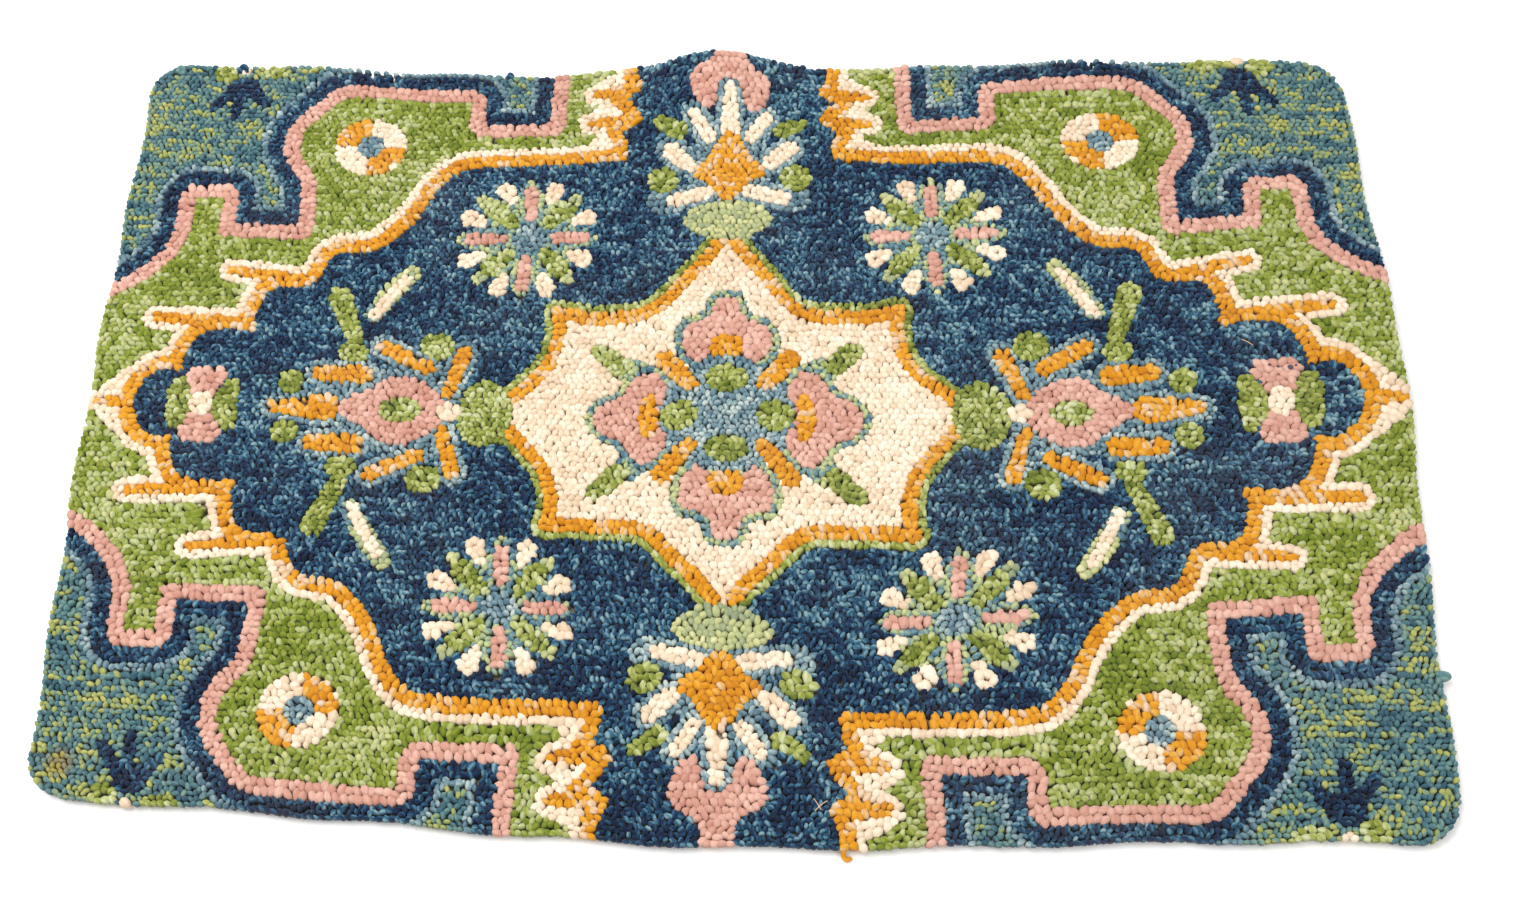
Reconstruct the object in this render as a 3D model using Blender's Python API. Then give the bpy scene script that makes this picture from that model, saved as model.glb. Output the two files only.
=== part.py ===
"""Hooked rug: wool loops drawn through one ground cloth, lying flat on the floor.

The rug is one piece, so it is one closed solid: the ground cloth and the pile of loops above it.
It is a flat slab with round corners, whose edges bow in and out as the dense hooking pulls them.
The pile rolls over the rim, and a low ripple lifts the middle of the long back edge.
"""

from collections import namedtuple
from math import pi

import bmesh
import bpy
import numpy as np

MM = 0.001

LENGTH = 914.0 * MM
WIDTH = 610.0 * MM
CORNER_RADIUS = 30.0 * MM
GROUND_THICKNESS = 2.0 * MM
PILE_HEIGHT = 8.0 * MM
THICKNESS = GROUND_THICKNESS + PILE_HEIGHT

CELLS_ALONG = 42
CELLS_ACROSS = 28
RIM_CROWDING = 0.5

RIM_ROUNDING = 4.2 * MM
RIM_SEGMENTS = 3

PILE_UNEVENNESS = 0.35 * MM
PILE_WAVE_ALONG = 150.0 * MM
PILE_WAVE_ACROSS = 118.0 * MM

EDGE_WAVE = 1.3 * MM
EDGE_WAVE_LENGTH = 118.0 * MM
EDGE_WAVE_REACH = 40.0 * MM

# Where each corner of the cut rectangle comes to lie, in millimetres along and across.
Corner = namedtuple("Corner", "along across")
CORNERS = {
    (-1, 1): Corner(-465.0, 303.0),
    (1, 1): Corner(454.0, 316.5),
    (1, -1): Corner(464.0, -304.5),
    (-1, -1): Corner(-457.0, -288.0),
}

# Where an edge bows: its middle along the edge, its outward push, its half length and how far
# the bow carries into the rug, in millimetres.
EdgeBow = namedtuple("EdgeBow", "edge middle push half_length reach")
EDGE_BOWS = (
    EdgeBow("back", -172.0, -12.0, 90.0, 140.0),
    EdgeBow("back", -14.0, 9.0, 31.0, 80.0),
    EdgeBow("back", 110.0, -5.5, 60.0, 90.0),
    EdgeBow("front", -5.0, 18.5, 195.0, 250.0),
    EdgeBow("left", -5.0, 6.0, 160.0, 120.0),
    EdgeBow("right", 35.0, 10.0, 110.0, 120.0),
)

# Where the rug lifts off the floor at an edge: its middle, its height, its half length along
# the edge and how far it runs into the rug, in millimetres.
Ripple = namedtuple("Ripple", "edge middle height half_length reach")
RIPPLES = (
    Ripple("back", -14.0, 10.0, 29.0, 105.0),
    Ripple("right", 55.0, 4.0, 45.0, 60.0),
)

WOOL_COLOUR = (0.13, 0.21, 0.20, 1.0)
WOOL_ROUGHNESS = 0.95


def smooth_step(value):
    """Ease from 0 to 1 as the value runs from 0 to 1."""
    held = np.clip(value, 0.0, 1.0)
    return held * held * (3.0 - 2.0 * held)


def edge_frame(edge, along, across):
    """Return the place along an edge, the distance in from it and its outward direction."""
    frames = {
        "back": (along, WIDTH / 2 - across, (0.0, 1.0)),
        "front": (along, WIDTH / 2 + across, (0.0, -1.0)),
        "left": (across, LENGTH / 2 + along, (-1.0, 0.0)),
        "right": (across, LENGTH / 2 - along, (1.0, 0.0)),
    }
    return frames[edge]


def round_corners(along, across):
    """Draw the corner squares of a rectangle in to quarter discs."""
    inner_along = LENGTH / 2 - CORNER_RADIUS
    inner_across = WIDTH / 2 - CORNER_RADIUS
    past_along = np.clip(np.abs(along) - inner_along, 0.0, None) / CORNER_RADIUS
    past_across = np.clip(np.abs(across) - inner_across, 0.0, None) / CORNER_RADIUS
    in_corner = (past_along > 0.0) & (past_across > 0.0)
    disc_along = inner_along + CORNER_RADIUS * past_along * np.sqrt(1.0 - past_across**2 / 2)
    disc_across = inner_across + CORNER_RADIUS * past_across * np.sqrt(1.0 - past_along**2 / 2)
    rounded_along = np.where(in_corner, np.sign(along) * disc_along, along)
    rounded_across = np.where(in_corner, np.sign(across) * disc_across, across)
    return rounded_along, rounded_across


def stretch_to_corners(along, across):
    """Carry the cut rectangle to the rug's own four corners, with its sides kept straight."""
    rows = []
    goals = []
    for (side_along, side_across), corner in CORNERS.items():
        x, y = side_along * LENGTH / 2, side_across * WIDTH / 2
        goal_x, goal_y = corner.along * MM, corner.across * MM
        rows.append([x, y, 1.0, 0.0, 0.0, 0.0, -x * goal_x, -y * goal_x])
        rows.append([0.0, 0.0, 0.0, x, y, 1.0, -x * goal_y, -y * goal_y])
        goals.extend((goal_x, goal_y))
    carry = np.append(np.linalg.solve(np.array(rows), np.array(goals)), 1.0).reshape(3, 3)
    moved_along, moved_across, depth = np.tensordot(carry, np.stack([along, across, np.ones_like(along)]), 1)
    return moved_along / depth, moved_across / depth


def pull_out_of_square(along, across):
    """Move each point as the corners, the bowed edges and their small waves carry it."""
    moved_along, moved_across = stretch_to_corners(along, across)
    for bow in EDGE_BOWS:
        place, depth, outward = edge_frame(bow.edge, along, across)
        hump = np.exp(-0.5 * ((place - bow.middle * MM) / (bow.half_length * MM)) ** 2)
        push = bow.push * MM * hump * (1.0 - smooth_step(depth / (bow.reach * MM)))
        moved_along += push * outward[0]
        moved_across += push * outward[1]
    for turn, edge in enumerate(("back", "right", "front", "left")):
        place, depth, outward = edge_frame(edge, along, across)
        wave = np.sin(2.0 * pi * place / EDGE_WAVE_LENGTH + 1.7 * turn)
        push = EDGE_WAVE * wave * (1.0 - smooth_step(depth / EDGE_WAVE_REACH))
        moved_along += push * outward[0]
        moved_across += push * outward[1]
    return moved_along, moved_across


def floor_height(along, across):
    """Return how far the underside lies above the floor."""
    height = np.zeros_like(along)
    for ripple in RIPPLES:
        place, depth, _ = edge_frame(ripple.edge, along, across)
        hump = np.exp(-0.5 * ((place - ripple.middle * MM) / (ripple.half_length * MM)) ** 2)
        inward = 1.0 - smooth_step(depth / (ripple.reach * MM))
        lift = ripple.height * MM * hump * inward
        height += np.where(lift > 0.2 * MM, lift - 0.2 * MM, 0.0)
    return height


def pile_unevenness(along, across):
    """Return the soft rise and fall of the hand-hooked pile."""
    broad = np.sin(2.0 * pi * along / PILE_WAVE_ALONG) * np.cos(2.0 * pi * across / PILE_WAVE_ACROSS)
    fine = np.sin(5.0 * pi * (along + across) / PILE_WAVE_ALONG)
    return PILE_UNEVENNESS * (broad + 0.5 * fine)


def shape_sheet(mesh):
    """Give a flat grid from -1 to 1 the rug's outline and ripples.

    Returns the pile's unevenness at each point, for the upper face.
    """
    flat = np.empty(len(mesh.vertices) * 3)
    mesh.vertices.foreach_get("co", flat)
    points = flat.reshape(-1, 3)
    crowded = points[:, :2] * (1.0 + (1.0 - RIM_CROWDING) / 2 * (1.0 - points[:, :2] ** 2))
    along = crowded[:, 0] * LENGTH / 2
    across = crowded[:, 1] * WIDTH / 2
    along, across = round_corners(along, across)
    points[:, 0], points[:, 1] = pull_out_of_square(along, across)
    points[:, 2] = floor_height(along, across)
    middle = (points[:, :2].max(axis=0) + points[:, :2].min(axis=0)) / 2
    points[:, :2] -= middle
    mesh.vertices.foreach_set("co", points.ravel())
    return pile_unevenness(along, across)


def thicken_and_round(mesh, unevenness):
    """Raise the upper face over the sheet and round both edges of the rim."""
    work = bmesh.new()
    work.from_mesh(mesh)
    lower = list(work.verts)
    lower_faces = list(work.faces)
    raised = bmesh.ops.duplicate(work, geom=work.verts[:] + work.edges[:] + work.faces[:])
    bmesh.ops.reverse_faces(work, faces=lower_faces)
    upper_of = {vert: raised["vert_map"][vert] for vert in lower}
    for vert, extra in zip(lower, unevenness):
        upper_of[vert].co.z += THICKNESS + extra
    open_edges = [edge for edge in work.edges if edge.is_boundary]
    bmesh.ops.bridge_loops(work, edges=open_edges)
    bmesh.ops.recalc_face_normals(work, faces=work.faces[:])
    bmesh.ops.bevel(
        work,
        geom=open_edges,
        offset=RIM_ROUNDING,
        offset_type="OFFSET",
        segments=RIM_SEGMENTS,
        profile=0.5,
        affect="EDGES",
    )
    work.to_mesh(mesh)
    work.free()


def wool_material():
    """Return the dyed wool of the pile."""
    material = bpy.data.materials.new("dyed_wool")
    material.use_nodes = True
    shader = material.node_tree.nodes["Principled BSDF"]
    shader.inputs["Base Color"].default_value = WOOL_COLOUR
    shader.inputs["Roughness"].default_value = WOOL_ROUGHNESS
    shader.inputs["Metallic"].default_value = 0.0
    return material


def build_rug(collection):
    """Model the rug as one closed solid."""
    bpy.ops.mesh.primitive_grid_add(x_subdivisions=CELLS_ALONG, y_subdivisions=CELLS_ACROSS, size=2.0)
    rug = bpy.context.active_object
    rug.name = "hooked_rug"
    rug.data.name = "hooked_rug"
    unevenness = shape_sheet(rug.data)
    thicken_and_round(rug.data, unevenness)
    rug.data.shade_smooth()
    rug.data.materials.append(wool_material())
    for owner in list(rug.users_collection):
        owner.objects.unlink(rug)
    collection.objects.link(rug)
    return rug


def main():
    """Clear the scene and build the rug."""
    for old in list(bpy.data.objects):
        bpy.data.objects.remove(old, do_unlink=True)
    collection = bpy.data.collections.new("hooked_rug")
    bpy.context.scene.collection.children.link(collection)
    build_rug(collection)


main()
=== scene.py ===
"""Looks of a small hooked rug: wool loops drawn through one ground cloth.

The rug is charted as a hooker draws it on the cloth, one quarter mirrored to four, and every loop is
a bead of two-ply wool of its own. Loops are sown in each patch of the chart and settle evenly, so that
they follow its outlines in rows. Chart sizes are millimetres from the rug's middle; meshes are metres.
"""

from __future__ import annotations

import logging
import math
from dataclasses import dataclass
from enum import IntEnum
from functools import cached_property

import bpy
import numpy as np
from mathutils import Matrix

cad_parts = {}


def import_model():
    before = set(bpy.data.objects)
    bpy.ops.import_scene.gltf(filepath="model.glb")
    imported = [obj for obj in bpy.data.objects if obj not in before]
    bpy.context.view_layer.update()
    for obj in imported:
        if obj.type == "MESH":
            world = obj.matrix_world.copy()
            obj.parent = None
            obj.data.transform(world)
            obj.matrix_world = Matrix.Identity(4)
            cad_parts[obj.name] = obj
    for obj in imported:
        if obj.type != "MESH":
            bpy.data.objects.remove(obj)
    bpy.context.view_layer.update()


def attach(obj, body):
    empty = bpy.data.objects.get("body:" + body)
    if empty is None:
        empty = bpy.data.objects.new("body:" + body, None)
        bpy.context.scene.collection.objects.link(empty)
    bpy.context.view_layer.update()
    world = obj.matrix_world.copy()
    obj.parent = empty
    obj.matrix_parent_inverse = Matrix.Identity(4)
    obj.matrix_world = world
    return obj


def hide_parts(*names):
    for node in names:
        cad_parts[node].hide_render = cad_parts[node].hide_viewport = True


log = logging.getLogger("hooked_rug")

MM = 0.001

Array = np.ndarray
Point = tuple[float, float]
Path2D = tuple[Point, ...]
Place = tuple[float, float, float]
Colour = tuple[float, float, float]
Strand = tuple[tuple[float, float, float, float], ...]
Socket = bpy.types.NodeSocket
Source = Socket | float | Place | tuple[float, float, float, float]


class Yarn(IntEnum):
    """The wool yarns of the chart, each hooked as a mesh of its own."""

    NAVY = 0
    SKY = 1
    TEAL = 2
    GREEN = 3
    LEAF = 4
    KNOT = 5
    IVORY = 6
    GOLD = 7
    PINK = 8
    FERN = 9


class Side(IntEnum):
    """The four edges of the rug."""

    BACK = 0
    RIGHT = 1
    FRONT = 2
    LEFT = 3


def smooth_step(value: Array) -> Array:
    """Ease from 0 to 1 as the value runs from 0 to 1."""
    held = np.clip(value, 0.0, 1.0)
    return held * held * (3.0 - 2.0 * held)


def soft_noise(along: Array, across: Array, cell: Point, seed: int) -> Array:
    """Return smooth noise from -1 to 1.

    Args:
        along: Places along the rug, in millimetres.
        across: Places across the rug, in millimetres.
        cell: Size of the noise's patches along and across, in millimetres.
        seed: Seed of this noise.

    Returns:
        One value for each place.
    """
    lattice = np.random.default_rng(seed).uniform(-1.0, 1.0, (256, 256))
    u = along / cell[0] + 128.0
    v = across / cell[1] + 128.0
    left, low = np.floor(u).astype(int), np.floor(v).astype(int)
    blend_u, blend_v = smooth_step(u - left), smooth_step(v - low)
    left, low = left % 255, low % 255
    lower = lattice[low, left] * (1.0 - blend_u) + lattice[low, left + 1] * blend_u
    upper = lattice[low + 1, left] * (1.0 - blend_u) + lattice[low + 1, left + 1] * blend_u
    return lower * (1.0 - blend_v) + upper * blend_v


@dataclass(frozen=True)
class EdgeBow:
    """A bow in an edge, in millimetres: its middle along the edge, outward push and reach."""

    side: Side
    middle: float
    push: float
    half_length: float
    reach: float


@dataclass(frozen=True)
class Ripple:
    """A place where the rug lifts off the floor at an edge, in millimetres."""

    side: Side
    middle: float
    height: float
    half_length: float
    reach: float


@dataclass(frozen=True)
class RugShape:
    """How the cut rectangle lies on the floor, the same as in the rug's solid."""

    length: float = 914.0
    width: float = 610.0
    corner_radius: float = 30.0
    thickness: float = 10.0
    corners: tuple[tuple[Point, Point], ...] = (
        ((-1, 1), (-465.0, 303.0)),
        ((1, 1), (454.0, 316.5)),
        ((1, -1), (464.0, -304.5)),
        ((-1, -1), (-457.0, -288.0)),
    )
    bows: tuple[EdgeBow, ...] = (
        EdgeBow(Side.BACK, -172.0, -12.0, 90.0, 140.0),
        EdgeBow(Side.BACK, -14.0, 9.0, 31.0, 80.0),
        EdgeBow(Side.BACK, 110.0, -5.5, 60.0, 90.0),
        EdgeBow(Side.FRONT, -5.0, 18.5, 195.0, 250.0),
        EdgeBow(Side.LEFT, -5.0, 6.0, 160.0, 120.0),
        EdgeBow(Side.RIGHT, 35.0, 10.0, 110.0, 120.0),
    )
    ripples: tuple[Ripple, ...] = (
        Ripple(Side.BACK, -14.0, 10.0, 29.0, 105.0),
        Ripple(Side.RIGHT, 55.0, 4.0, 45.0, 60.0),
    )
    wave: float = 1.3
    wave_length: float = 118.0
    wave_reach: float = 40.0
    unevenness: float = 0.35
    uneven_length: Point = (150.0, 118.0)

    def at_edge(self, side: Side, along: Array, across: Array) -> tuple[Array, Array, Point]:
        """Return the place along an edge, the depth in from it and its outward direction.

        Args:
            side: The edge.
            along: Places along the chart, in millimetres.
            across: Places across the chart, in millimetres.

        Returns:
            The three, in millimetres but for the direction.
        """
        if side == Side.BACK:
            return along, self.width / 2 - across, (0.0, 1.0)
        if side == Side.FRONT:
            return along, self.width / 2 + across, (0.0, -1.0)
        if side == Side.LEFT:
            return across, self.length / 2 + along, (-1.0, 0.0)
        return across, self.length / 2 - along, (1.0, 0.0)

    @cached_property
    def corner_carry(self) -> Array:
        """Return the matrix that carries the rectangle's corners to the rug's.

        Returns:
            A three by three matrix for flat places.
        """
        rows, goals = [], []
        for (side_along, side_across), (goal_x, goal_y) in self.corners:
            x, y = side_along * self.length / 2, side_across * self.width / 2
            rows.append([x, y, 1.0, 0.0, 0.0, 0.0, -x * goal_x, -y * goal_x])
            rows.append([0.0, 0.0, 0.0, x, y, 1.0, -x * goal_y, -y * goal_y])
            goals.extend((goal_x, goal_y))
        return np.append(np.linalg.solve(np.array(rows), np.array(goals)), 1.0).reshape(3, 3)

    def pull_out_of_square(self, along: Array, across: Array) -> tuple[Array, Array]:
        """Move points as the corners, the bowed edges and their small waves carry them.

        Args:
            along: Places along the chart, in millimetres.
            across: Places across the chart, in millimetres.

        Returns:
            The carried places along and across.
        """
        flat = np.stack([along, across, np.ones_like(along)])
        moved_along, moved_across, depth = np.tensordot(self.corner_carry, flat, 1)
        moved_along, moved_across = moved_along / depth, moved_across / depth
        for bow in self.bows:
            place, depth, outward = self.at_edge(bow.side, along, across)
            hump = np.exp(-0.5 * ((place - bow.middle) / bow.half_length) ** 2)
            push = bow.push * hump * (1.0 - smooth_step(depth / bow.reach))
            moved_along = moved_along + push * outward[0]
            moved_across = moved_across + push * outward[1]
        for side in Side:
            place, depth, outward = self.at_edge(side, along, across)
            swing = np.sin(2.0 * math.pi * place / self.wave_length + 1.7 * side)
            push = self.wave * swing * (1.0 - smooth_step(depth / self.wave_reach))
            moved_along = moved_along + push * outward[0]
            moved_across = moved_across + push * outward[1]
        return moved_along, moved_across

    @cached_property
    def middle(self) -> Point:
        """Return the middle of the carried outline's box.

        Returns:
            Its place along and across, in millimetres.
        """
        step = np.linspace(-0.5, 0.5, 801)
        ends = np.full_like(step, 0.5)
        along = np.concatenate([step, step, ends, -ends]) * self.length
        across = np.concatenate([ends, -ends, step, step]) * self.width
        x, y = self.pull_out_of_square(along, across)
        return float(x.max() + x.min()) / 2, float(y.max() + y.min()) / 2

    def lift(self, along: Array, across: Array) -> Array:
        """Return how far the underside lies above the floor, in millimetres.

        Args:
            along: Places along the chart, in millimetres.
            across: Places across the chart, in millimetres.

        Returns:
            One height for each place.
        """
        height = np.zeros_like(along)
        for ripple in self.ripples:
            place, depth, _ = self.at_edge(ripple.side, along, across)
            hump = np.exp(-0.5 * ((place - ripple.middle) / ripple.half_length) ** 2)
            rise = ripple.height * hump * (1.0 - smooth_step(depth / ripple.reach))
            height = height + np.maximum(rise - 0.2, 0.0)
        return height

    def pile_unevenness(self, along: Array, across: Array) -> Array:
        """Return the soft rise and fall of the pile, in millimetres.

        Args:
            along: Places along the chart, in millimetres.
            across: Places across the chart, in millimetres.

        Returns:
            One height for each place.
        """
        turn = 2.0 * math.pi
        broad = np.sin(turn * along / self.uneven_length[0]) * np.cos(turn * across / self.uneven_length[1])
        fine = np.sin(2.5 * turn * (along + across) / self.uneven_length[0])
        return self.unevenness * (broad + 0.5 * fine)

    def carry(self, along: Array, across: Array, height: Array) -> Array:
        """Carry chart places to the rug on the floor.

        Args:
            along: Places along the chart, in millimetres.
            across: Places across the chart, in millimetres.
            height: Heights above the underside, in millimetres.

        Returns:
            The points in metres, one row each.
        """
        x, y = self.pull_out_of_square(along, across)
        z = self.lift(along, across) + height
        return np.stack([x - self.middle[0], y - self.middle[1], z], axis=-1) * MM

    def depth_in(self, along: Array, across: Array) -> Array:
        """Return the depth in from the cut outline, round corners included.

        Args:
            along: Places along the chart, in millimetres.
            across: Places across the chart, in millimetres.

        Returns:
            One depth for each place, below 0 outside.
        """
        past_along = np.abs(along) - (self.length / 2 - self.corner_radius)
        past_across = np.abs(across) - (self.width / 2 - self.corner_radius)
        outside = np.hypot(np.maximum(past_along, 0.0), np.maximum(past_across, 0.0))
        return self.corner_radius - outside - np.minimum(np.maximum(past_along, past_across), 0.0)


@dataclass
class Chart:
    """The rug's design on the cloth: one yarn for each square millimetre.

    The motifs are drawn in one quarter, right of the middle, and mirrored to the other three. The cloth
    has crept under the hooker's hand since it was drawn, so no two quarters are quite alike.
    """

    shape: RugShape
    stray: float = 0.9
    stray_cell: Point = (46.0, 40.0)

    def __post_init__(self) -> None:
        """Lay out an all-navy chart over the cut rectangle."""
        shape = self.shape
        self.columns = int(shape.length)
        self.rows = int(shape.width)
        along = np.arange(self.columns) + 0.5 - shape.length / 2
        across = np.arange(self.rows) + 0.5 - shape.width / 2
        self.along, self.across = np.meshgrid(along, across)
        crept_along, crept_across = self.creep()
        self.x = np.abs(self.along - crept_along)
        self.y = np.abs(self.across - crept_across)
        self.yarn = np.full(self.x.shape, Yarn.NAVY, np.int16)
        self.tint = np.zeros(self.x.shape)

    def creep(self) -> tuple[Array, Array]:
        """Return how far the cloth has crept along and across at each square.

        Returns:
            The two shifts, in millimetres.
        """
        crept = [self.stray * soft_noise(self.along, self.across, self.stray_cell, seed) for seed in (3, 4)]
        for pull in PULLS:
            away = ((self.along - pull.centre[0]) / pull.reach[0]) ** 2
            away = away + ((self.across - pull.centre[1]) / pull.reach[1]) ** 2
            share = np.exp(-0.5 * away)
            crept[0] = crept[0] + pull.shift[0] * share
            crept[1] = crept[1] + pull.shift[1] * share
        return crept[0], crept[1]

    def hook(self, patch: Array, yarn: Yarn, tint: float = 0.0) -> None:
        """Give a patch its yarn, from a darker lot where the tint is below 0 or a lighter one above it."""
        self.yarn[patch] = yarn
        self.tint[patch] = tint

    def distance(self, path: Path2D) -> Array:
        """Return the distance to a path of straight stretches."""
        return np.min([self.beside(start, end)[1] for start, end in zip(path, path[1:])], axis=0)

    def beside(self, start: Point, end: Point) -> tuple[Array, Array]:
        """Return the share of the way along a stretch and the distance to it.

        Args:
            start: Where the stretch starts.
            end: Where it ends.

        Returns:
            The two, for each square.
        """
        run = (end[0] - start[0], end[1] - start[1])
        length_squared = run[0] ** 2 + run[1] ** 2
        share = ((self.x - start[0]) * run[0] + (self.y - start[1]) * run[1]) / length_squared
        share = np.clip(share, 0.0, 1.0)
        away = np.hypot(self.x - start[0] - share * run[0], self.y - start[1] - share * run[1])
        return share, away

    def inside(self, outline: Path2D) -> Array:
        """Return what lies inside a closed outline.

        Args:
            outline: The outline's corners in order.

        Returns:
            True for each square inside.
        """
        within = np.zeros(self.x.shape, bool)
        for start, end in zip(outline, outline[1:] + outline[:1]):
            if start[1] == end[1]:
                continue
            crosses = (self.y < start[1]) != (self.y < end[1])
            reach = (end[0] - start[0]) * (self.y - start[1]) / (end[1] - start[1]) + start[0]
            within ^= crosses & (self.x < reach)
        return within


@dataclass(frozen=True)
class Pull:
    """A place where the cloth has crept under the hooking, in millimetres."""

    centre: Point
    reach: Point
    shift: Point


PULLS: tuple[Pull, ...] = (
    Pull((-120.0, 10.0), (300.0, 190.0), (0.0, -9.0)),
    Pull((440.0, 75.0), (85.0, 100.0), (0.0, 15.0)),
    Pull((-85.0, 55.0), (42.0, 55.0), (-3.0, -9.0)),
    Pull((85.0, 50.0), (42.0, 70.0), (3.0, -8.0)),
    Pull((0.0, -255.0), (75.0, 75.0), (-2.0, 19.0)),
    Pull((100.0, 260.0), (70.0, 60.0), (0.0, -7.0)),
    Pull((-440.0, 20.0), (50.0, 170.0), (6.5, 0.0)),
    Pull((440.0, 0.0), (50.0, 170.0), (-7.0, 0.0)),
    Pull((-250.0, 300.0), (130.0, 60.0), (6.5, 0.0)),
    Pull((260.0, 300.0), (130.0, 60.0), (-7.0, 0.0)),
    Pull((-210.0, -300.0), (90.0, 45.0), (-6.0, 0.0)),
    Pull((-210.0, 0.0), (60.0, 45.0), (7.0, 0.0)),
    Pull((110.0, 140.0), (60.0, 50.0), (-5.5, 0.0)),
    Pull((-120.0, 150.0), (40.0, 40.0), (7.0, 0.0)),
    Pull((230.0, -110.0), (150.0, 40.0), (5.5, 0.0)),
    Pull((425.0, 20.0), (35.0, 35.0), (6.0, 0.0)),
    Pull((-62.0, -110.0), (38.0, 35.0), (-4.5, -5.0)),
    Pull((120.0, -200.0), (35.0, 45.0), (-5.0, 0.0)),
    Pull((-120.0, -195.0), (40.0, 45.0), (5.0, 0.0)),
    Pull((90.0, -145.0), (60.0, 60.0), (0.0, -9.0)),
    Pull((160.0, 40.0), (75.0, 30.0), (0.0, -6.0)),
    Pull((-205.0, 120.0), (50.0, 75.0), (0.0, -7.0)),
    Pull((-50.0, 195.0), (45.0, 35.0), (0.0, -5.0)),
    Pull((425.0, -190.0), (50.0, 50.0), (0.0, 8.0)),
    Pull((-95.0, 15.0), (45.0, 30.0), (0.0, -4.5)),
    Pull((0.0, -50.0), (40.0, 25.0), (0.0, 5.0)),
)


@dataclass(frozen=True)
class Petal:
    """A straight petal or leaf with round ends, from one width to another."""

    start: Point
    end: Point
    widths: Point

    def on(self, chart: Chart, margin: float = 0.0) -> Array:
        """Return the petal's patch, with a margin all round."""
        share, away = chart.beside(self.start, self.end)
        return away < (self.widths[0] + (self.widths[1] - self.widths[0]) * share) / 2 + margin


@dataclass(frozen=True)
class Oval:
    """An oval patch."""

    centre: Point
    radii: Point

    def on(self, chart: Chart, margin: float = 0.0) -> Array:
        """Return the oval's patch, with a margin all round."""
        dx, dy = chart.x - self.centre[0], chart.y - self.centre[1]
        return (dx / (self.radii[0] + margin)) ** 2 + (dy / (self.radii[1] + margin)) ** 2 < 1.0


@dataclass(frozen=True)
class Patch:
    """A patch inside a closed outline."""

    outline: Path2D

    def on(self, chart: Chart, margin: float = 0.0) -> Array:
        """Return the patch, with a margin all round.

        Args:
            chart: The chart.
            margin: Width of the margin, in millimetres.

        Returns:
            True for each square of the patch.
        """
        within = chart.inside(self.outline)
        if margin > 0.0:
            within |= chart.distance(self.outline + self.outline[:1]) < margin
        return within


Form = Petal | Oval | Patch


@dataclass(frozen=True)
class Layer:
    """Some forms of one yarn, hooked over what lies below, and a margin about them."""

    yarn: Yarn
    forms: tuple[Form, ...]
    margin: float = 0.0
    tint: float = 0.0

    def work(self, chart: Chart) -> None:
        """Hook the layer."""
        for form in self.forms:
            chart.hook(form.on(chart, self.margin), self.yarn, self.tint)


@dataclass(frozen=True)
class Flower:
    """A motif built up of layers, the lowest first."""

    name: str
    layers: tuple[Layer, ...]

    def work(self, chart: Chart) -> None:
        """Hook the motif's layers."""
        for layer in self.layers:
            layer.work(chart)


@dataclass(frozen=True)
class Spandrel:
    """The green ground outside the toothed gold line, which an ivory line follows."""

    gold_line: Path2D = (
        (82, 330), (81, 300), (75, 290), (91, 279), (80, 269), (75, 260), (91, 249), (85, 240), (84, 227),
        (120, 223.5), (190, 221.5), (206, 219), (217, 211), (224, 202), (229, 194), (234, 182), (243, 166),
        (251, 156), (261, 146), (271, 140.5), (290, 139), (300, 133), (305, 122), (309, 112), (315, 108),
        (337, 107), (346, 101), (351, 90), (354, 78), (356, 70), (382, 68), (394, 62), (401, 50), (404, 40),
        (406, 32.5), (414, 33.5), (423, 29), (430.5, 20), (435, 9), (437, 0),
    )
    cusps: tuple[Petal, ...] = (Petal((360, 68), (351, 66), (9, 8)), Petal((406, 34), (403, 30), (9, 7)))
    gold_width: float = 10.4
    ivory_width: float = 6.6
    spikes: tuple[Petal, ...] = (
        Petal((80, 288), (106, 285), (13, 8)),
        Petal((80, 258), (108, 257), (13, 8)),
        Petal((325, 109), (373, 115), (11, 7)),
        Petal((375, 70), (424, 72), (11, 8)),
        Petal((437, 0), (457, 0), (12, 6)),
    )
    ivory_end: Petal = Petal((425, 27), (446, 6), (22, 24))
    ivory_teeth: Path2D = (
        (84, 300), (96, 304), (118, 290), (101, 276), (120, 262), (103, 244), (112, 234), (84, 234),
    )

    def work(self, chart: Chart) -> None:
        """Hook the spandrel.

        Args:
            chart: The chart to hook it on.
        """
        outside = ~chart.inside(self.gold_line + ((-5.0, -5.0), (-5.0, 330.0)))
        chart.hook(outside, Yarn.GREEN)
        away = chart.distance(self.gold_line) - self.gold_width / 2
        ivory = (away < self.ivory_width) | self.ivory_end.on(chart) | chart.inside(self.ivory_teeth)
        gold = away < 0.0
        for spike in self.spikes:
            ivory |= spike.on(chart, self.ivory_width)
            gold |= spike.on(chart) & outside
        for cusp in self.cusps:
            gold |= cusp.on(chart)
        chart.hook(outside & ivory, Yarn.IVORY)
        chart.hook(gold, Yarn.GOLD)


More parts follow.
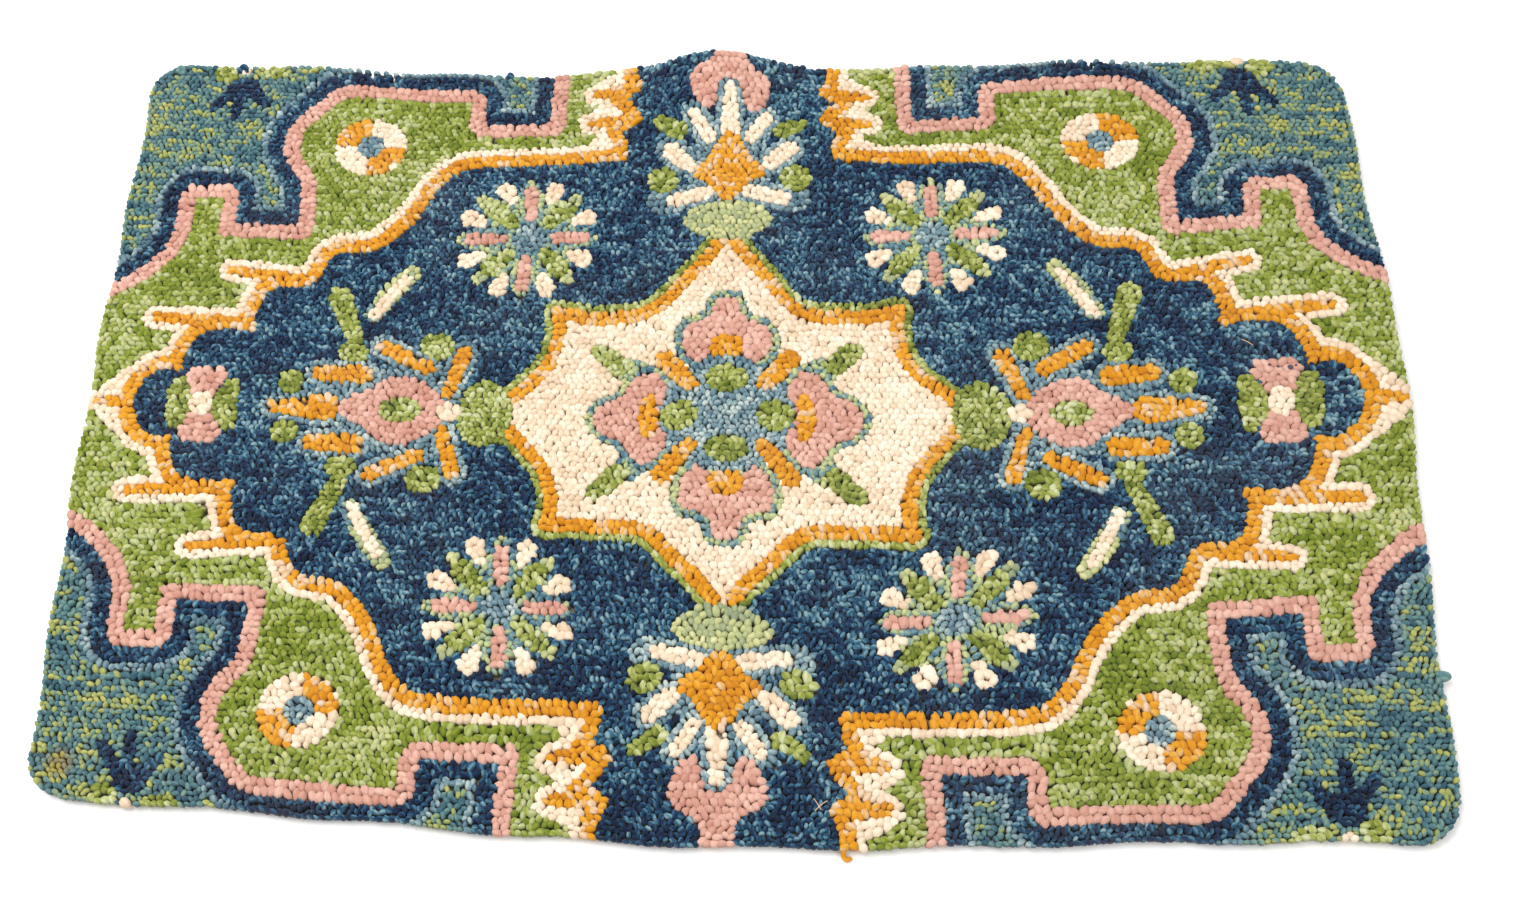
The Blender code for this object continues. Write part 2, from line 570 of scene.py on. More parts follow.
@dataclass(frozen=True)
class Corner:
    """The pink stepped line and the corner that it closes off."""

    pink_line: Path2D = (
        (135, 330), (135.5, 258), (137, 253), (195, 253), (199.5, 258), (199.5, 283), (203, 286.5),
        (300, 286.5), (311, 283), (324, 269), (335, 256), (341, 245), (341, 226), (333, 212), (325, 203),
        (322, 194), (320, 165), (320, 150), (381, 150), (382, 183), (386, 186), (413, 186), (416, 180),
        (416, 148), (424, 128), (437, 114), (450, 103), (470, 92),
    )
    pink_width: float = 12.0
    navy_width: float = 12.2
    sky_width: float = 6.0

    def work(self, chart: Chart) -> None:
        """Hook the corner.

        Args:
            chart: The chart to hook it on.
        """
        within = chart.inside(self.pink_line + ((480.0, 330.0),))
        away = chart.distance(self.pink_line) - self.pink_width / 2
        chart.hook(within, Yarn.TEAL)
        chart.hook(within & (away < self.navy_width + self.sky_width), Yarn.SKY, -0.12)
        chart.hook(within & (away < self.navy_width), Yarn.NAVY, -0.12)
        chart.hook(away < 0.0, Yarn.PINK)


@dataclass(frozen=True)
class Rosette:
    """A round flower of the field: pink bars, green leaves and ivory tips about a blue eye."""

    centre: Point = (153.5, 151.5)
    eye_radius: float = 12.0
    ground_radius: float = 39.0

    def rays(self, angles: tuple[float, ...], span: Point, widths: Point) -> tuple[Petal, ...]:
        """Return petals that point away from the centre, one at each angle.

        Args:
            angles: Their directions, in degrees.
            span: Where they start and end.
            widths: Their widths there.

        Returns:
            The petals.
        """
        petals = []
        for angle in angles:
            cosine, sine = math.cos(math.radians(angle)), math.sin(math.radians(angle))
            start, end = ((self.centre[0] + r * cosine, self.centre[1] + r * sine) for r in span)
            petals.append(Petal(start, end, widths))
        return tuple(petals)

    def work(self, chart: Chart) -> None:
        """Hook the rosette.

        Args:
            chart: The chart to hook it on.
        """
        straight = (0.0, 90.0, 180.0, 270.0)
        slant = tuple(angle + 45.0 for angle in straight)
        between = tuple(angle + lean for angle in straight for lean in (23.0, 67.0))
        bars = self.rays(straight, (19.0, 40.5), (8.5, 10.0))
        Layer(Yarn.FERN, (Oval(self.centre, (self.ground_radius, self.ground_radius)),)).work(chart)
        Layer(Yarn.KNOT, self.rays(slant, (36.0, 48.0), (13.0, 9.0))).work(chart)
        Layer(Yarn.KNOT, self.rays(straight, (30.0, 48.0), (15.0, 7.0))).work(chart)
        Layer(Yarn.LEAF, self.rays(slant, (19.0, 36.0), (11.0, 15.0))).work(chart)
        Layer(Yarn.FERN, bars, margin=3.0).work(chart)
        Layer(Yarn.IVORY, self.rays(between, (35.5, 46.0), (8.0, 14.0))).work(chart)
        Layer(Yarn.PINK, bars).work(chart)
        Layer(Yarn.SKY, (Oval(self.centre, (self.eye_radius, self.eye_radius)),)).work(chart)


@dataclass(frozen=True)
class StarMedallion:
    """The ivory eight-pointed star with its gold band and green outer line."""

    outline: Path2D = (
        (167, 0), (163, 8), (155, 17), (145, 27), (135, 38), (127, 50), (122, 66), (121, 80), (124, 90),
        (100, 88), (60, 88.5), (50, 92), (42, 99), (35, 108), (26, 119), (17, 129), (10, 139), (2, 150),
    )
    gold_width: float = 10.4
    green_width: float = 5.6

    def work(self, chart: Chart) -> None:
        """Hook the star.

        Args:
            chart: The chart to hook it on.
        """
        within = chart.inside(self.outline + ((-1.0, 150.0), (-1.0, -1.0), (167.0, -1.0)))
        away = chart.distance(self.outline) - self.gold_width / 2
        chart.hook((away < self.green_width) & ~within, Yarn.LEAF)
        chart.hook(within, Yarn.IVORY)
        chart.hook(away < 0.0, Yarn.GOLD)


SPANDREL_FLOWER = Flower("spandrel flower", (
    Layer(Yarn.IVORY, (Oval((279, 231.5), (28, 27)),)),
    Layer(Yarn.GOLD, (
        Patch(((280, 232), (280, 259), (292, 257), (303, 248), (308, 240), (307, 232))),
        Patch(((279, 232), (279, 205), (268, 207), (258, 216), (252, 226), (253, 233))),
    )),
    Layer(Yarn.SKY, (Oval((279, 232), (10.5, 10.5)),)),
))

CORNER_BLOSSOM = Flower("corner blossom", (
    Layer(Yarn.LEAF, (Oval((365, 301), (13, 5)), Oval((404, 299), (10, 8)))),
    Layer(Yarn.NAVY, (
        Oval((388, 286), (13, 11)),
        Petal((380, 283), (369, 270), (12, 8)),
        Petal((397, 281), (410, 265), (11, 8)),
        Petal((390, 282), (391, 257), (11, 8)),
    ), tint=-0.22),
    Layer(Yarn.IVORY, (Oval((388, 303), (5, 3)),)),
))

EDGE_PETALS = (
    Petal((17, 192), (42, 186), (13, 12)),
    Petal((32, 219), (46, 232), (13, 14)),
    Petal((16, 242), (28, 259), (11, 10)),
    Petal((0, 248), (0, 280), (16, 8)),
)

EDGE_PALMETTE = Flower("edge palmette", (
    Layer(Yarn.SKY, EDGE_PETALS + (Oval((0, 214), (27, 34)), Oval((50, 186), (8, 7))), margin=5.5),
    Layer(Yarn.LEAF, (Oval((51, 205), (12.5, 12)), Petal((41, 248), (55, 256), (15, 11)))),
    Layer(Yarn.PINK, (Patch((
        (0, 286), (6, 286), (10, 280), (12, 266), (17, 262), (24, 266), (30, 276), (32, 289), (27, 296),
        (16, 301), (11, 307), (11, 322), (-12, 322),
    )),)),
    Layer(Yarn.IVORY, EDGE_PETALS),
    Layer(Yarn.GOLD, (Patch((
        (-1, 182), (6, 186), (12, 196), (17, 202), (26, 206), (28, 215), (19, 221), (14, 230), (9, 239),
        (3, 246), (-1, 246),
    )),)),
    Layer(Yarn.KNOT, (Oval((0, 167), (34, 17)), Petal((0, 155), (14, 153), (14, 10)))),
))

SIDE_TULIP = Patch((
    (47, -1), (46, 10), (41, 16), (41, 27), (47, 36), (52, 42), (60, 42), (66, 34), (70, 26), (75, 20),
    (84, 17), (91, 10), (94, 3), (94, -1),
))
EDGE_TULIP = Patch((
    (-1, 58), (10, 57), (13, 50), (20, 45), (28, 52), (31.5, 62), (31, 71), (27, 77), (18, 79), (11, 83),
    (9, 90), (7, 97), (-1, 98),
))

QUATREFOIL = Flower("quatrefoil", (
    Layer(Yarn.FERN, (SIDE_TULIP, EDGE_TULIP, Petal((60, 38), (66, 44), (12, 10))), margin=5.8),
    Layer(Yarn.SKY, (
        Patch(((-1, -1), (-1, 52), (12, 50), (20, 44), (30, 38), (40, 32), (42, 22), (48, 10), (48, -1))),
    ), tint=0.08),
    Layer(Yarn.PINK, (SIDE_TULIP, EDGE_TULIP)),
    Layer(Yarn.GOLD, (
        Patch(((48, -1), (48, 14), (50, 22), (56, 20), (61, 8), (61, -1))),
        Patch(((-1, 50), (9, 51), (12, 56), (11, 64), (5, 67), (-1, 67))),
        Petal((26, 28), (43, 51), (12.5, 14.5)),
    )),
    Layer(Yarn.LEAF, (
        Patch(((64, 50), (72, 58), (79, 65), (87, 68.5), (95, 66), (96, 60), (86, 50), (79, 41), (71, 41))),
        Oval((33, 0), (13, 14)),
        Oval((0, 31), (15, 12)),
    )),
))

SIDE_PETALS = (
    Petal((207, 16), (194, 51), (9, 12)),
    Petal((222, 38), (252, 54), (12, 12)),
    Petal((268, 29), (296, 29), (16, 13)),
    Petal((292, 0), (327, 0), (22, 10)),
)

SIDE_PALMETTE = Flower("side palmette", (
    Layer(Yarn.SKY, SIDE_PETALS + (Oval((244, 0), (39, 30)),), margin=5.5),
    Layer(Yarn.LEAF, (
        Oval((177, 0), (21, 29)),
        Oval((214, 57), (13, 12)),
        Oval((274, 48), (11, 9)),
        Oval((317, 21), (10, 10)),
        Petal((274, 60), (287, 95), (13, 18)),
    )),
    Layer(Yarn.GOLD, SIDE_PETALS),
    Layer(Yarn.PINK, (Patch((
        (204, -1), (208, 8), (216, 19), (226, 26), (236, 29), (248, 28), (256, 22), (262, 16), (272, 11),
        (281, 5), (283, -1),
    )),)),
    Layer(Yarn.LEAF, (Oval((239, 0), (15, 11)),)),
    Layer(Yarn.IVORY, (Oval((204, 0), (9, 8)),)),
    Layer(Yarn.FERN, (Petal((262, 82), (247, 106), (14, 16)),)),
    Layer(Yarn.KNOT, (Petal((251, 100), (235, 121), (15, 13)),)),
    Layer(Yarn.IVORY, (Petal((261.5, 81), (239, 116), (9, 8)),)),
))

SIDE_FLOWER = Flower("side flower", (
    Layer(Yarn.LEAF, (
        Patch(((372, -1), (372, 8), (362, 22), (354, 20), (353, -1))),
        Patch(((388, -1), (388, 6), (393, 22), (403, 20), (407, 10), (406, -1))),
    )),
    Layer(Yarn.PINK, (Patch((
        (373, 5), (370, 13), (363, 22), (367, 31), (392, 31), (396, 23), (390, 13), (388, 5),
    )),)),
    Layer(Yarn.IVORY, (Oval((380.5, 0), (8.5, 11)),)),
))


def draw_chart(shape: RugShape) -> Chart:
    """Draw the whole design, ground motifs first.

    Args:
        shape: How the rug lies.

    Returns:
        The finished chart.
    """
    chart = Chart(shape)
    motifs = (
        Spandrel(), SPANDREL_FLOWER, Corner(), CORNER_BLOSSOM, Rosette(), StarMedallion(), EDGE_PALMETTE,
        QUATREFOIL, SIDE_PALMETTE, SIDE_FLOWER,
    )
    for motif in motifs:
        motif.work(chart)
    chart.yarn[shape.depth_in(chart.along, chart.across) < 0.0] = -1
    return chart


@dataclass(frozen=True)
class LoopGauge:
    """How a yarn is hooked: the cloth that one loop takes, the loop's form and how freely it turns."""

    area: float
    slimness: float = 1.45
    height: float = 8.2
    lean: float = 0.9
    freedom: float = 0.9
    overlap: float = 1.42
    mottle: tuple[float, float, float] = (0.24, 0.12, 0.34)
    run: Point = (17.0, 7.0)


GAUGES: dict[Yarn, LoopGauge] = {
    Yarn.NAVY: LoopGauge(14.5, slimness=1.55, height=8.0),
    Yarn.SKY: LoopGauge(15.5, slimness=1.5),
    Yarn.TEAL: LoopGauge(15.5, slimness=1.6, height=8.0, mottle=(0.36, 0.05, 0.26), run=(15.0, 4.0)),
    Yarn.GREEN: LoopGauge(19.0, slimness=1.5, overlap=1.72),
    Yarn.LEAF: LoopGauge(18.5, slimness=1.45, overlap=1.66),
    Yarn.KNOT: LoopGauge(17.0, slimness=1.4, overlap=1.7),
    Yarn.IVORY: LoopGauge(20.5, slimness=1.35, freedom=1.0, overlap=2.0),
    Yarn.GOLD: LoopGauge(22.5, slimness=1.5, height=8.4, freedom=0.55, overlap=1.85),
    Yarn.PINK: LoopGauge(24.0, slimness=1.45, height=8.4, freedom=0.7, overlap=1.9),
    Yarn.FERN: LoopGauge(16.0, overlap=1.5),
}


@dataclass
class LoopField:
    """Where each loop stands, sown patch by patch and settled evenly."""

    chart: Chart
    seed: int = 7
    rounds: int = 13
    thinning_rounds: tuple[int, ...] = (4, 8, 11)
    smallest_share: float = 0.3
    smallest_area: float = 6.0
    scatter: float = 0.12
    search_steps: tuple[int, ...] = (4, 2, 1, 1)
    blur_rounds: int = 3
    blur_reach: int = 3

    def __post_init__(self) -> None:
        """Sow and settle the loops of the chart."""
        self.random = np.random.default_rng(self.seed)
        self.places, self.yarns = self.sow()
        self.settle()
        self.measure()

    def square_of(self, places: Array) -> tuple[Array, Array]:
        """Return the chart's row and column at each place.

        Args:
            places: Places in millimetres, one row each.

        Returns:
            The rows and the columns.
        """
        column = np.floor(places[:, 0] + self.chart.shape.length / 2).astype(int)
        row = np.floor(places[:, 1] + self.chart.shape.width / 2).astype(int)
        return np.clip(row, 0, self.chart.rows - 1), np.clip(column, 0, self.chart.columns - 1)

    def sow(self) -> tuple[Array, Array]:
        """Return staggered rows of loops for each yarn, and their yarns.

        Returns:
            Places in millimetres and yarns.
        """
        shape = self.chart.shape
        places, yarns = [], []
        for yarn, gauge in GAUGES.items():
            pitch = math.sqrt(gauge.area * 2.0 / math.sqrt(3.0))
            across = np.arange(-shape.width / 2, shape.width / 2, pitch * math.sqrt(3.0) / 2)
            along = np.arange(-shape.length / 2, shape.length / 2, pitch)
            grid = np.stack(np.meshgrid(along, across), axis=-1)
            grid[1::2, :, 0] += pitch / 2
            spots = grid.reshape(-1, 2)
            spots = spots + self.random.normal(0.0, self.scatter * pitch, spots.shape)
            row, column = self.square_of(spots)
            mine = self.chart.yarn[row, column] == yarn
            places.append(spots[mine])
            yarns.append(np.full(int(mine.sum()), int(yarn)))
        return np.concatenate(places), np.concatenate(yarns)

    def owners(self) -> Array:
        """Return the nearest loop of its own yarn for each square, or -1.

        Returns:
            The loop's number for each square.
        """
        chart = self.chart
        owner = np.full(chart.yarn.shape, -1, np.int32)
        nearest = np.full(chart.yarn.shape, np.inf, np.float32)
        row, column = self.square_of(self.places)
        owner[row, column] = np.arange(len(self.places))
        across, along = chart.across.astype(np.float32), chart.along.astype(np.float32)
        spot_along, spot_across = self.places.astype(np.float32).T
        for step in self.search_steps:
            for down in (-step, 0, step):
                for over in (-step, 0, step):
                    here = (self.span(-down, chart.rows), self.span(-over, chart.columns))
                    there = (self.span(down, chart.rows), self.span(over, chart.columns))
                    offered = owner[there]
                    known = offered >= 0
                    loop = np.where(known, offered, 0)
                    far = (along[here] - spot_along[loop]) ** 2 + (across[here] - spot_across[loop]) ** 2
                    wins = known & (self.yarns[loop] == chart.yarn[here]) & (far < nearest[here])
                    nearest[here] = np.where(wins, far, nearest[here])
                    owner[here] = np.where(wins, loop, owner[here])
        owner[np.isinf(nearest)] = -1
        return owner

    @staticmethod
    def span(shift: int, length: int) -> slice:
        """Return the squares that stay on the chart under a shift."""
        return slice(max(0, shift), length + min(0, shift))

    def settle(self) -> None:
        """Move each loop to the middle of its squares, over and over, and drop the crowded ones."""
        chart = self.chart
        wanted = np.array([GAUGES[Yarn(k)].area for k in range(len(Yarn))])
        for turn in range(self.rounds):
            owner = self.owners()
            owned = owner >= 0
            count = np.bincount(owner[owned], minlength=len(self.places)).astype(float)
            held = np.maximum(count, 1.0)
            along = np.bincount(owner[owned], chart.along[owned], len(self.places)) / held
            across = np.bincount(owner[owned], chart.across[owned], len(self.places)) / held
            has_cloth = count > 0
            self.places[has_cloth] = np.stack([along, across], axis=1)[has_cloth]
            if turn in self.thinning_rounds:
                keep = count > self.smallest_share * wanted[self.yarns]
                self.places, self.yarns = self.places[keep], self.yarns[keep]

    def measure(self) -> None:
        """Measure each loop's cloth and the way it faces."""
        chart = self.chart
        owner = self.owners()
        owned = owner >= 0
        total = len(self.places)
        squares = np.bincount(owner[owned], minlength=total).astype(float)
        self.area = np.maximum(squares, self.smallest_area)
        facing_along, facing_across = self.outline_facing()
        row, column = self.square_of(self.places)
        self.facing = np.stack([facing_along[row, column], facing_across[row, column]], axis=1)

    def outline_facing(self) -> tuple[Array, Array]:
        """Return the direction across the nearest outline, longer the nearer it is.

        Returns:
            Its parts along and across, for each square.
        """
        along = np.zeros(self.chart.yarn.shape)
        across = np.zeros(self.chart.yarn.shape)
        for yarn in Yarn:
            patch = self.chart.yarn == yarn
            spread = patch.astype(float)
            for _ in range(self.blur_rounds):
                spread = self.blur(self.blur(spread, 0, self.blur_reach), 1, self.blur_reach)
            slope_across, slope_along = np.gradient(spread)
            along[patch] = slope_along[patch]
            across[patch] = slope_across[patch]
        return along, across

    @staticmethod
    def blur(values: Array, axis: int, reach: int) -> Array:
        """Return the running mean along an axis.

        Args:
            values: One value for each square.
            axis: 0 for across, 1 for along.
            reach: Squares to each side.

        Returns:
            The blurred values.
        """
        ends = [(reach + 1, reach) if k == axis else (0, 0) for k in (0, 1)]
        padded = np.pad(values, ends, mode="edge")
        total = np.cumsum(padded, axis=axis)
        size = 2 * reach + 1
        ahead = np.take(total, np.arange(size, total.shape[axis]), axis=axis)
        behind = np.take(total, np.arange(0, total.shape[axis] - size), axis=axis)
        return (ahead - behind) / size


@dataclass(frozen=True)
class BeadForm:
    """The form of one loop seen from above: a soft bead with a narrow foot and a round crown."""

    segments: int = 7
    belly: Point = (0.30, 1.0)
    crown: Point = (0.87, 0.78)

    def model(self) -> bpy.types.Object:
        """Model the bead from a sphere: unit half length, unit height, foot at the origin.

        Returns:
            The bead's object.
        """
        bpy.ops.object.select_all(action="DESELECT")
        bpy.ops.mesh.primitive_uv_sphere_add(segments=self.segments, ring_count=3, radius=1.0)
        bead = bpy.context.active_object
        rings = ((-1.0, 0.0, 0.0), (-0.5, *self.belly), (0.5, *self.crown), (1.0, 1.0, 0.0))
        heights = [vertex.co.z for vertex in bead.data.vertices]
        bpy.ops.object.mode_set(mode="EDIT")
        for old_height, new_height, radius in rings:
            bpy.ops.mesh.select_all(action="DESELECT")
            bpy.ops.object.mode_set(mode="OBJECT")
            for vertex, height in zip(bead.data.vertices, heights):
                vertex.select = abs(height - old_height) < 0.01
            bpy.ops.object.mode_set(mode="EDIT")
            old_radius = math.sqrt(max(0.0, 1.0 - old_height**2))
            if old_radius > 0.01:
                scale = radius / old_radius
                bpy.ops.transform.resize(value=(scale, scale, 1.0), center_override=(0.0, 0.0, 0.0))
            bpy.ops.transform.translate(value=(0.0, 0.0, new_height - old_height))
        bpy.ops.object.mode_set(mode="OBJECT")
        return bead


@dataclass
class BeadArrays:
    """A modelled bead as arrays, ready to be repeated."""

    points: Array
    corners: Array
    starts: Array
    sheet: Array

    @classmethod
    def read(cls, bead: bpy.types.Object) -> BeadArrays:
        """Read a bead's mesh, unwrap it round its crown, and remove it.

        Args:
            bead: The modelled bead.

        Returns:
            Its arrays.
        """
        mesh = bead.data
        points = np.array([vertex.co[:] for vertex in mesh.vertices])
        corners = np.array([loop.vertex_index for loop in mesh.loops])
        starts = np.array([face.loop_start for face in mesh.polygons])
        sheet = np.zeros((len(corners), 2))
        for face in mesh.polygons:
            centre = np.mean([points[index] for index in face.vertices], axis=0)
            for loop in face.loop_indices:
                place = points[corners[loop]]
                on_axis = math.hypot(place[0], place[1]) < 0.01
                turn = math.atan2(centre[1], centre[0]) if on_axis else math.atan2(place[1], place[0])
                reach = 0.47 * (1.0 - place[2]) ** 0.6
                sheet[loop] = (0.5 + reach * math.cos(turn), 0.5 + reach * math.sin(turn))
        bpy.data.objects.remove(bead, do_unlink=True)
        bpy.data.meshes.remove(mesh)
        return cls(points, corners, starts, sheet)


@dataclass
class Pile:
    """All the loops of the rug, one mesh for each yarn or two for a large one.

    The heading fields are radians; the rest are millimetres or shares of a loop's own size.
    """

    shape: RugShape
    loops: LoopField
    seed: int = 19
    root: float = 1.4
    most_loops: int = 6500
    shade_patch: Point = (60.0, 34.0)
    off_outline: float = 0.45
    heading: float = math.radians(120.0)
    wander: float = 0.8
    wander_patch: Point = (30.0, 24.0)
    near_outline: float = 0.03
    rim_freedom: float = 0.25
    rim_depth: float = 6.0
    rim_lean: float = 0.9
    rim_hold: float = 0.7
    slim_range: Point = (0.80, 1.25)
    full_range: Point = (0.88, 1.12)
    height_range: Point = (-0.45, 0.35)
    lean_spread: float = 0.6
    taper: float = 0.28
    bend: float = 0.24
    arch: float = 0.16

    def __post_init__(self) -> None:
        """Model the bead that every loop repeats."""
        self.random = np.random.default_rng(self.seed)
        self.bead = BeadArrays.read(BeadForm().model())

    def tone(self, places: Array, yarn: Yarn) -> Array:
        """Return each loop's shade from 0 to 1: runs of one yarn lot, and a stray loop here and there.

        Args:
            places: Places in millimetres, one row each.
            yarn: Their yarn.

        Returns:
            One shade for each loop.
        """
        in_run, in_patch, alone = GAUGES[yarn].mottle
        runs = soft_noise(places[:, 0], places[:, 1], GAUGES[yarn].run, 31 + yarn)
        patches = soft_noise(places[:, 0], places[:, 1], self.shade_patch, 61 + yarn)
        single = self.random.uniform(-1.0, 1.0, len(places))
        tint = self.loops.chart.tint[self.loops.square_of(places)]
        return np.clip(0.5 + tint + in_run * runs + in_patch * patches + alone * single, 0.0, 1.0)

    def headings(self, places: Array, facing: Array, freedom: float) -> Array:
        """Return the way each loop's long side points, in radians.

        Loops by an outline lie across it, loops at the rim lie along it, and the rest turn as they like.

        Args:
            places: Places in millimetres, one row each.
            facing: The way across the nearest outline.
            freedom: How far a loop turns as it likes.

        Returns:
            One heading for each loop.
        """
        across_outline = np.arctan2(facing[:, 1], facing[:, 0]) + self.off_outline
        inner = self.heading + self.wander * soft_noise(places[:, 0], places[:, 1], self.wander_patch, 91)
        near_outline = np.hypot(facing[:, 0], facing[:, 1]) > self.near_outline
        heading = np.where(near_outline, across_outline, inner)
        heading = heading + self.random.normal(0.0, freedom, len(places))
        at_rim, outward = self.rim(places)
        along_rim = np.arctan2(outward[:, 0], -outward[:, 1])
        along_rim = along_rim + self.random.normal(0.0, self.rim_freedom, len(places))
        return np.where(at_rim > 0.5, along_rim, heading)

    def build(self) -> list[bpy.types.Object]:
        """Build every yarn's mesh and dress it.

        Returns:
            The meshes' objects.
        """
        pieces = []
        for yarn in Yarn:
            chosen = np.flatnonzero(self.loops.yarns == yarn)
            parts = math.ceil(len(chosen) / self.most_loops)
            order = chosen[np.argsort(self.loops.places[chosen, 0], kind="stable")]
            for number, part in enumerate(np.array_split(order, parts), start=1):
                name = f"loops_{yarn.name.lower()}" + (f"_{number}" if parts > 1 else "")
                piece = self.hook(name, part, yarn)
                piece.data.materials.append(WOOLS[yarn].material())
                pieces.append(piece)
        return pieces

    def hook(self, name: str, chosen: Array, yarn: Yarn) -> bpy.types.Object:
        """Join the chosen loops into one mesh.

        Args:
            name: Name of the piece.
            chosen: Numbers of the loops.
            yarn: Their yarn.

        Returns:
            The joined mesh's object, at the origin.
        """
        gauge = GAUGES[yarn]
        places = self.loops.places[chosen]
        count = len(chosen)
        heading = self.headings(places, self.loops.facing[chosen], gauge.freedom)
        at_rim, outward = self.rim(places)
        slimness = gauge.slimness * self.random.uniform(*self.slim_range, count)
        overlap = gauge.overlap * self.random.uniform(*self.full_range, count)
        half_width = np.sqrt(overlap * self.loops.area[chosen] / math.pi / slimness)
        half_length = half_width * slimness
        height = gauge.height + self.shape.pile_unevenness(places[:, 0], places[:, 1])
        height = height + self.random.uniform(*self.height_range, count)
        held = (1.0 - self.rim_hold * at_rim)[:, None]
        lean = gauge.lean * self.random.normal(0.0, self.lean_spread, (count, 2)) * held
        lean += self.rim_lean * at_rim[:, None] * outward
        local = self.bead.points[None, :, :] * np.ones((count, 1, 1))
        taper = 1.0 + self.random.uniform(-self.taper, self.taper, count)[:, None] * local[:, :, 0]
        bend = self.random.normal(0.0, self.bend, count)[:, None] * (local[:, :, 0] ** 2 - 0.3)
        along_loop = local[:, :, 0] * half_length[:, None]
        across_loop = (local[:, :, 1] * taper + bend) * half_width[:, None]
        rise = local[:, :, 2]
        cosine, sine = np.cos(heading)[:, None], np.sin(heading)[:, None]
        tipped = rise**1.3
        along = places[:, 0, None] + along_loop * cosine - across_loop * sine + lean[:, 0, None] * tipped
        across = places[:, 1, None] + along_loop * sine + across_loop * cosine + lean[:, 1, None] * tipped
        arched = 1.0 - self.arch * local[:, :, 0] ** 2 * rise
        tall = self.root + rise * height[:, None] * arched
        points = self.shape.carry(along, across, tall)
        mesh = self.joined_mesh(name, points.reshape(-1, 3), count)
        self.add_values(mesh, "tone", np.repeat(self.tone(places, yarn), len(self.bead.points)))
        self.add_values(mesh, "lot", np.repeat(self.random.uniform(0.0, 1.0, count), len(self.bead.points)))
        place = np.stack([along_loop, across_loop, rise * height[:, None]], axis=-1)
        attribute = mesh.attributes.new("loop_place", "FLOAT_VECTOR", "POINT")
        attribute.data.foreach_set("vector", place.astype(np.float32).ravel())
        piece = bpy.data.objects.new(name, mesh)
        bpy.context.scene.collection.objects.link(piece)
        log.info("%s: %d loops", name, count)
        return piece

    def rim(self, places: Array) -> tuple[Array, Array]:
        """Return how near the rim each place is, from 0 to 1, and the way out of the rug there.

        Args:
            places: Places in millimetres, one row each.

        Returns:
            The two, for each place.
        """
        step = 0.5
        depth = self.shape.depth_in(places[:, 0], places[:, 1])
        slope_along = self.shape.depth_in(places[:, 0] + step, places[:, 1]) - depth
        slope_across = self.shape.depth_in(places[:, 0], places[:, 1] + step) - depth
        outward = -np.stack([slope_along, slope_across], axis=1) / step
        return 1.0 - smooth_step(depth / self.rim_depth), outward

    def joined_mesh(self, name: str, points: Array, count: int) -> bpy.types.Mesh:
        """Return a mesh of so many beads, each with a square of the baking sheet of its own.

        Args:
            name: Name of the mesh.
            points: All its points, in metres.
            count: Number of beads.

        Returns:
            The mesh.
        """
        bead = self.bead
        per_bead = len(bead.points)
        corner_shift = np.repeat(np.arange(count) * per_bead, len(bead.corners))
        start_shift = np.repeat(np.arange(count) * len(bead.corners), len(bead.starts))
        mesh = bpy.data.meshes.new(name)
        mesh.vertices.add(len(points))
        mesh.vertices.foreach_set("co", points.astype(np.float32).ravel())
        mesh.loops.add(len(corner_shift))
        mesh.loops.foreach_set("vertex_index", np.tile(bead.corners, count) + corner_shift)
        mesh.polygons.add(len(start_shift))
        mesh.polygons.foreach_set("loop_start", np.tile(bead.starts, count) + start_shift)
        mesh.polygons.foreach_set("use_smooth", np.ones(len(start_shift), bool))
        mesh.update(calc_edges=True)
        across_sheet = math.ceil(math.sqrt(count))
        square = np.stack([np.arange(count) % across_sheet, np.arange(count) // across_sheet], axis=1)
        sheet = (square[:, None, :] + bead.sheet[None, :, :]) / across_sheet
        layer = mesh.uv_layers.new(name="OFBake")
        layer.data.foreach_set("uv", sheet.astype(np.float32).ravel())
        return mesh

    @staticmethod
    def add_values(mesh: bpy.types.Mesh, name: str, values: Array) -> None:
        """Store one number for each point."""
        attribute = mesh.attributes.new(name, "FLOAT", "POINT")
        attribute.data.foreach_set("value", values.astype(np.float32))


def linear(colour: Colour) -> tuple[float, float, float, float]:
    """Return a colour given in 0 to 255 as linear light.

    Args:
        colour: Red, green and blue.

    Returns:
        Red, green, blue and full cover.
    """
    share = [channel / 255.0 for channel in colour]
    light = [c / 12.92 if c <= 0.04045 else ((c + 0.055) / 1.055) ** 2.4 for c in share]
    return light[0], light[1], light[2], 1.0


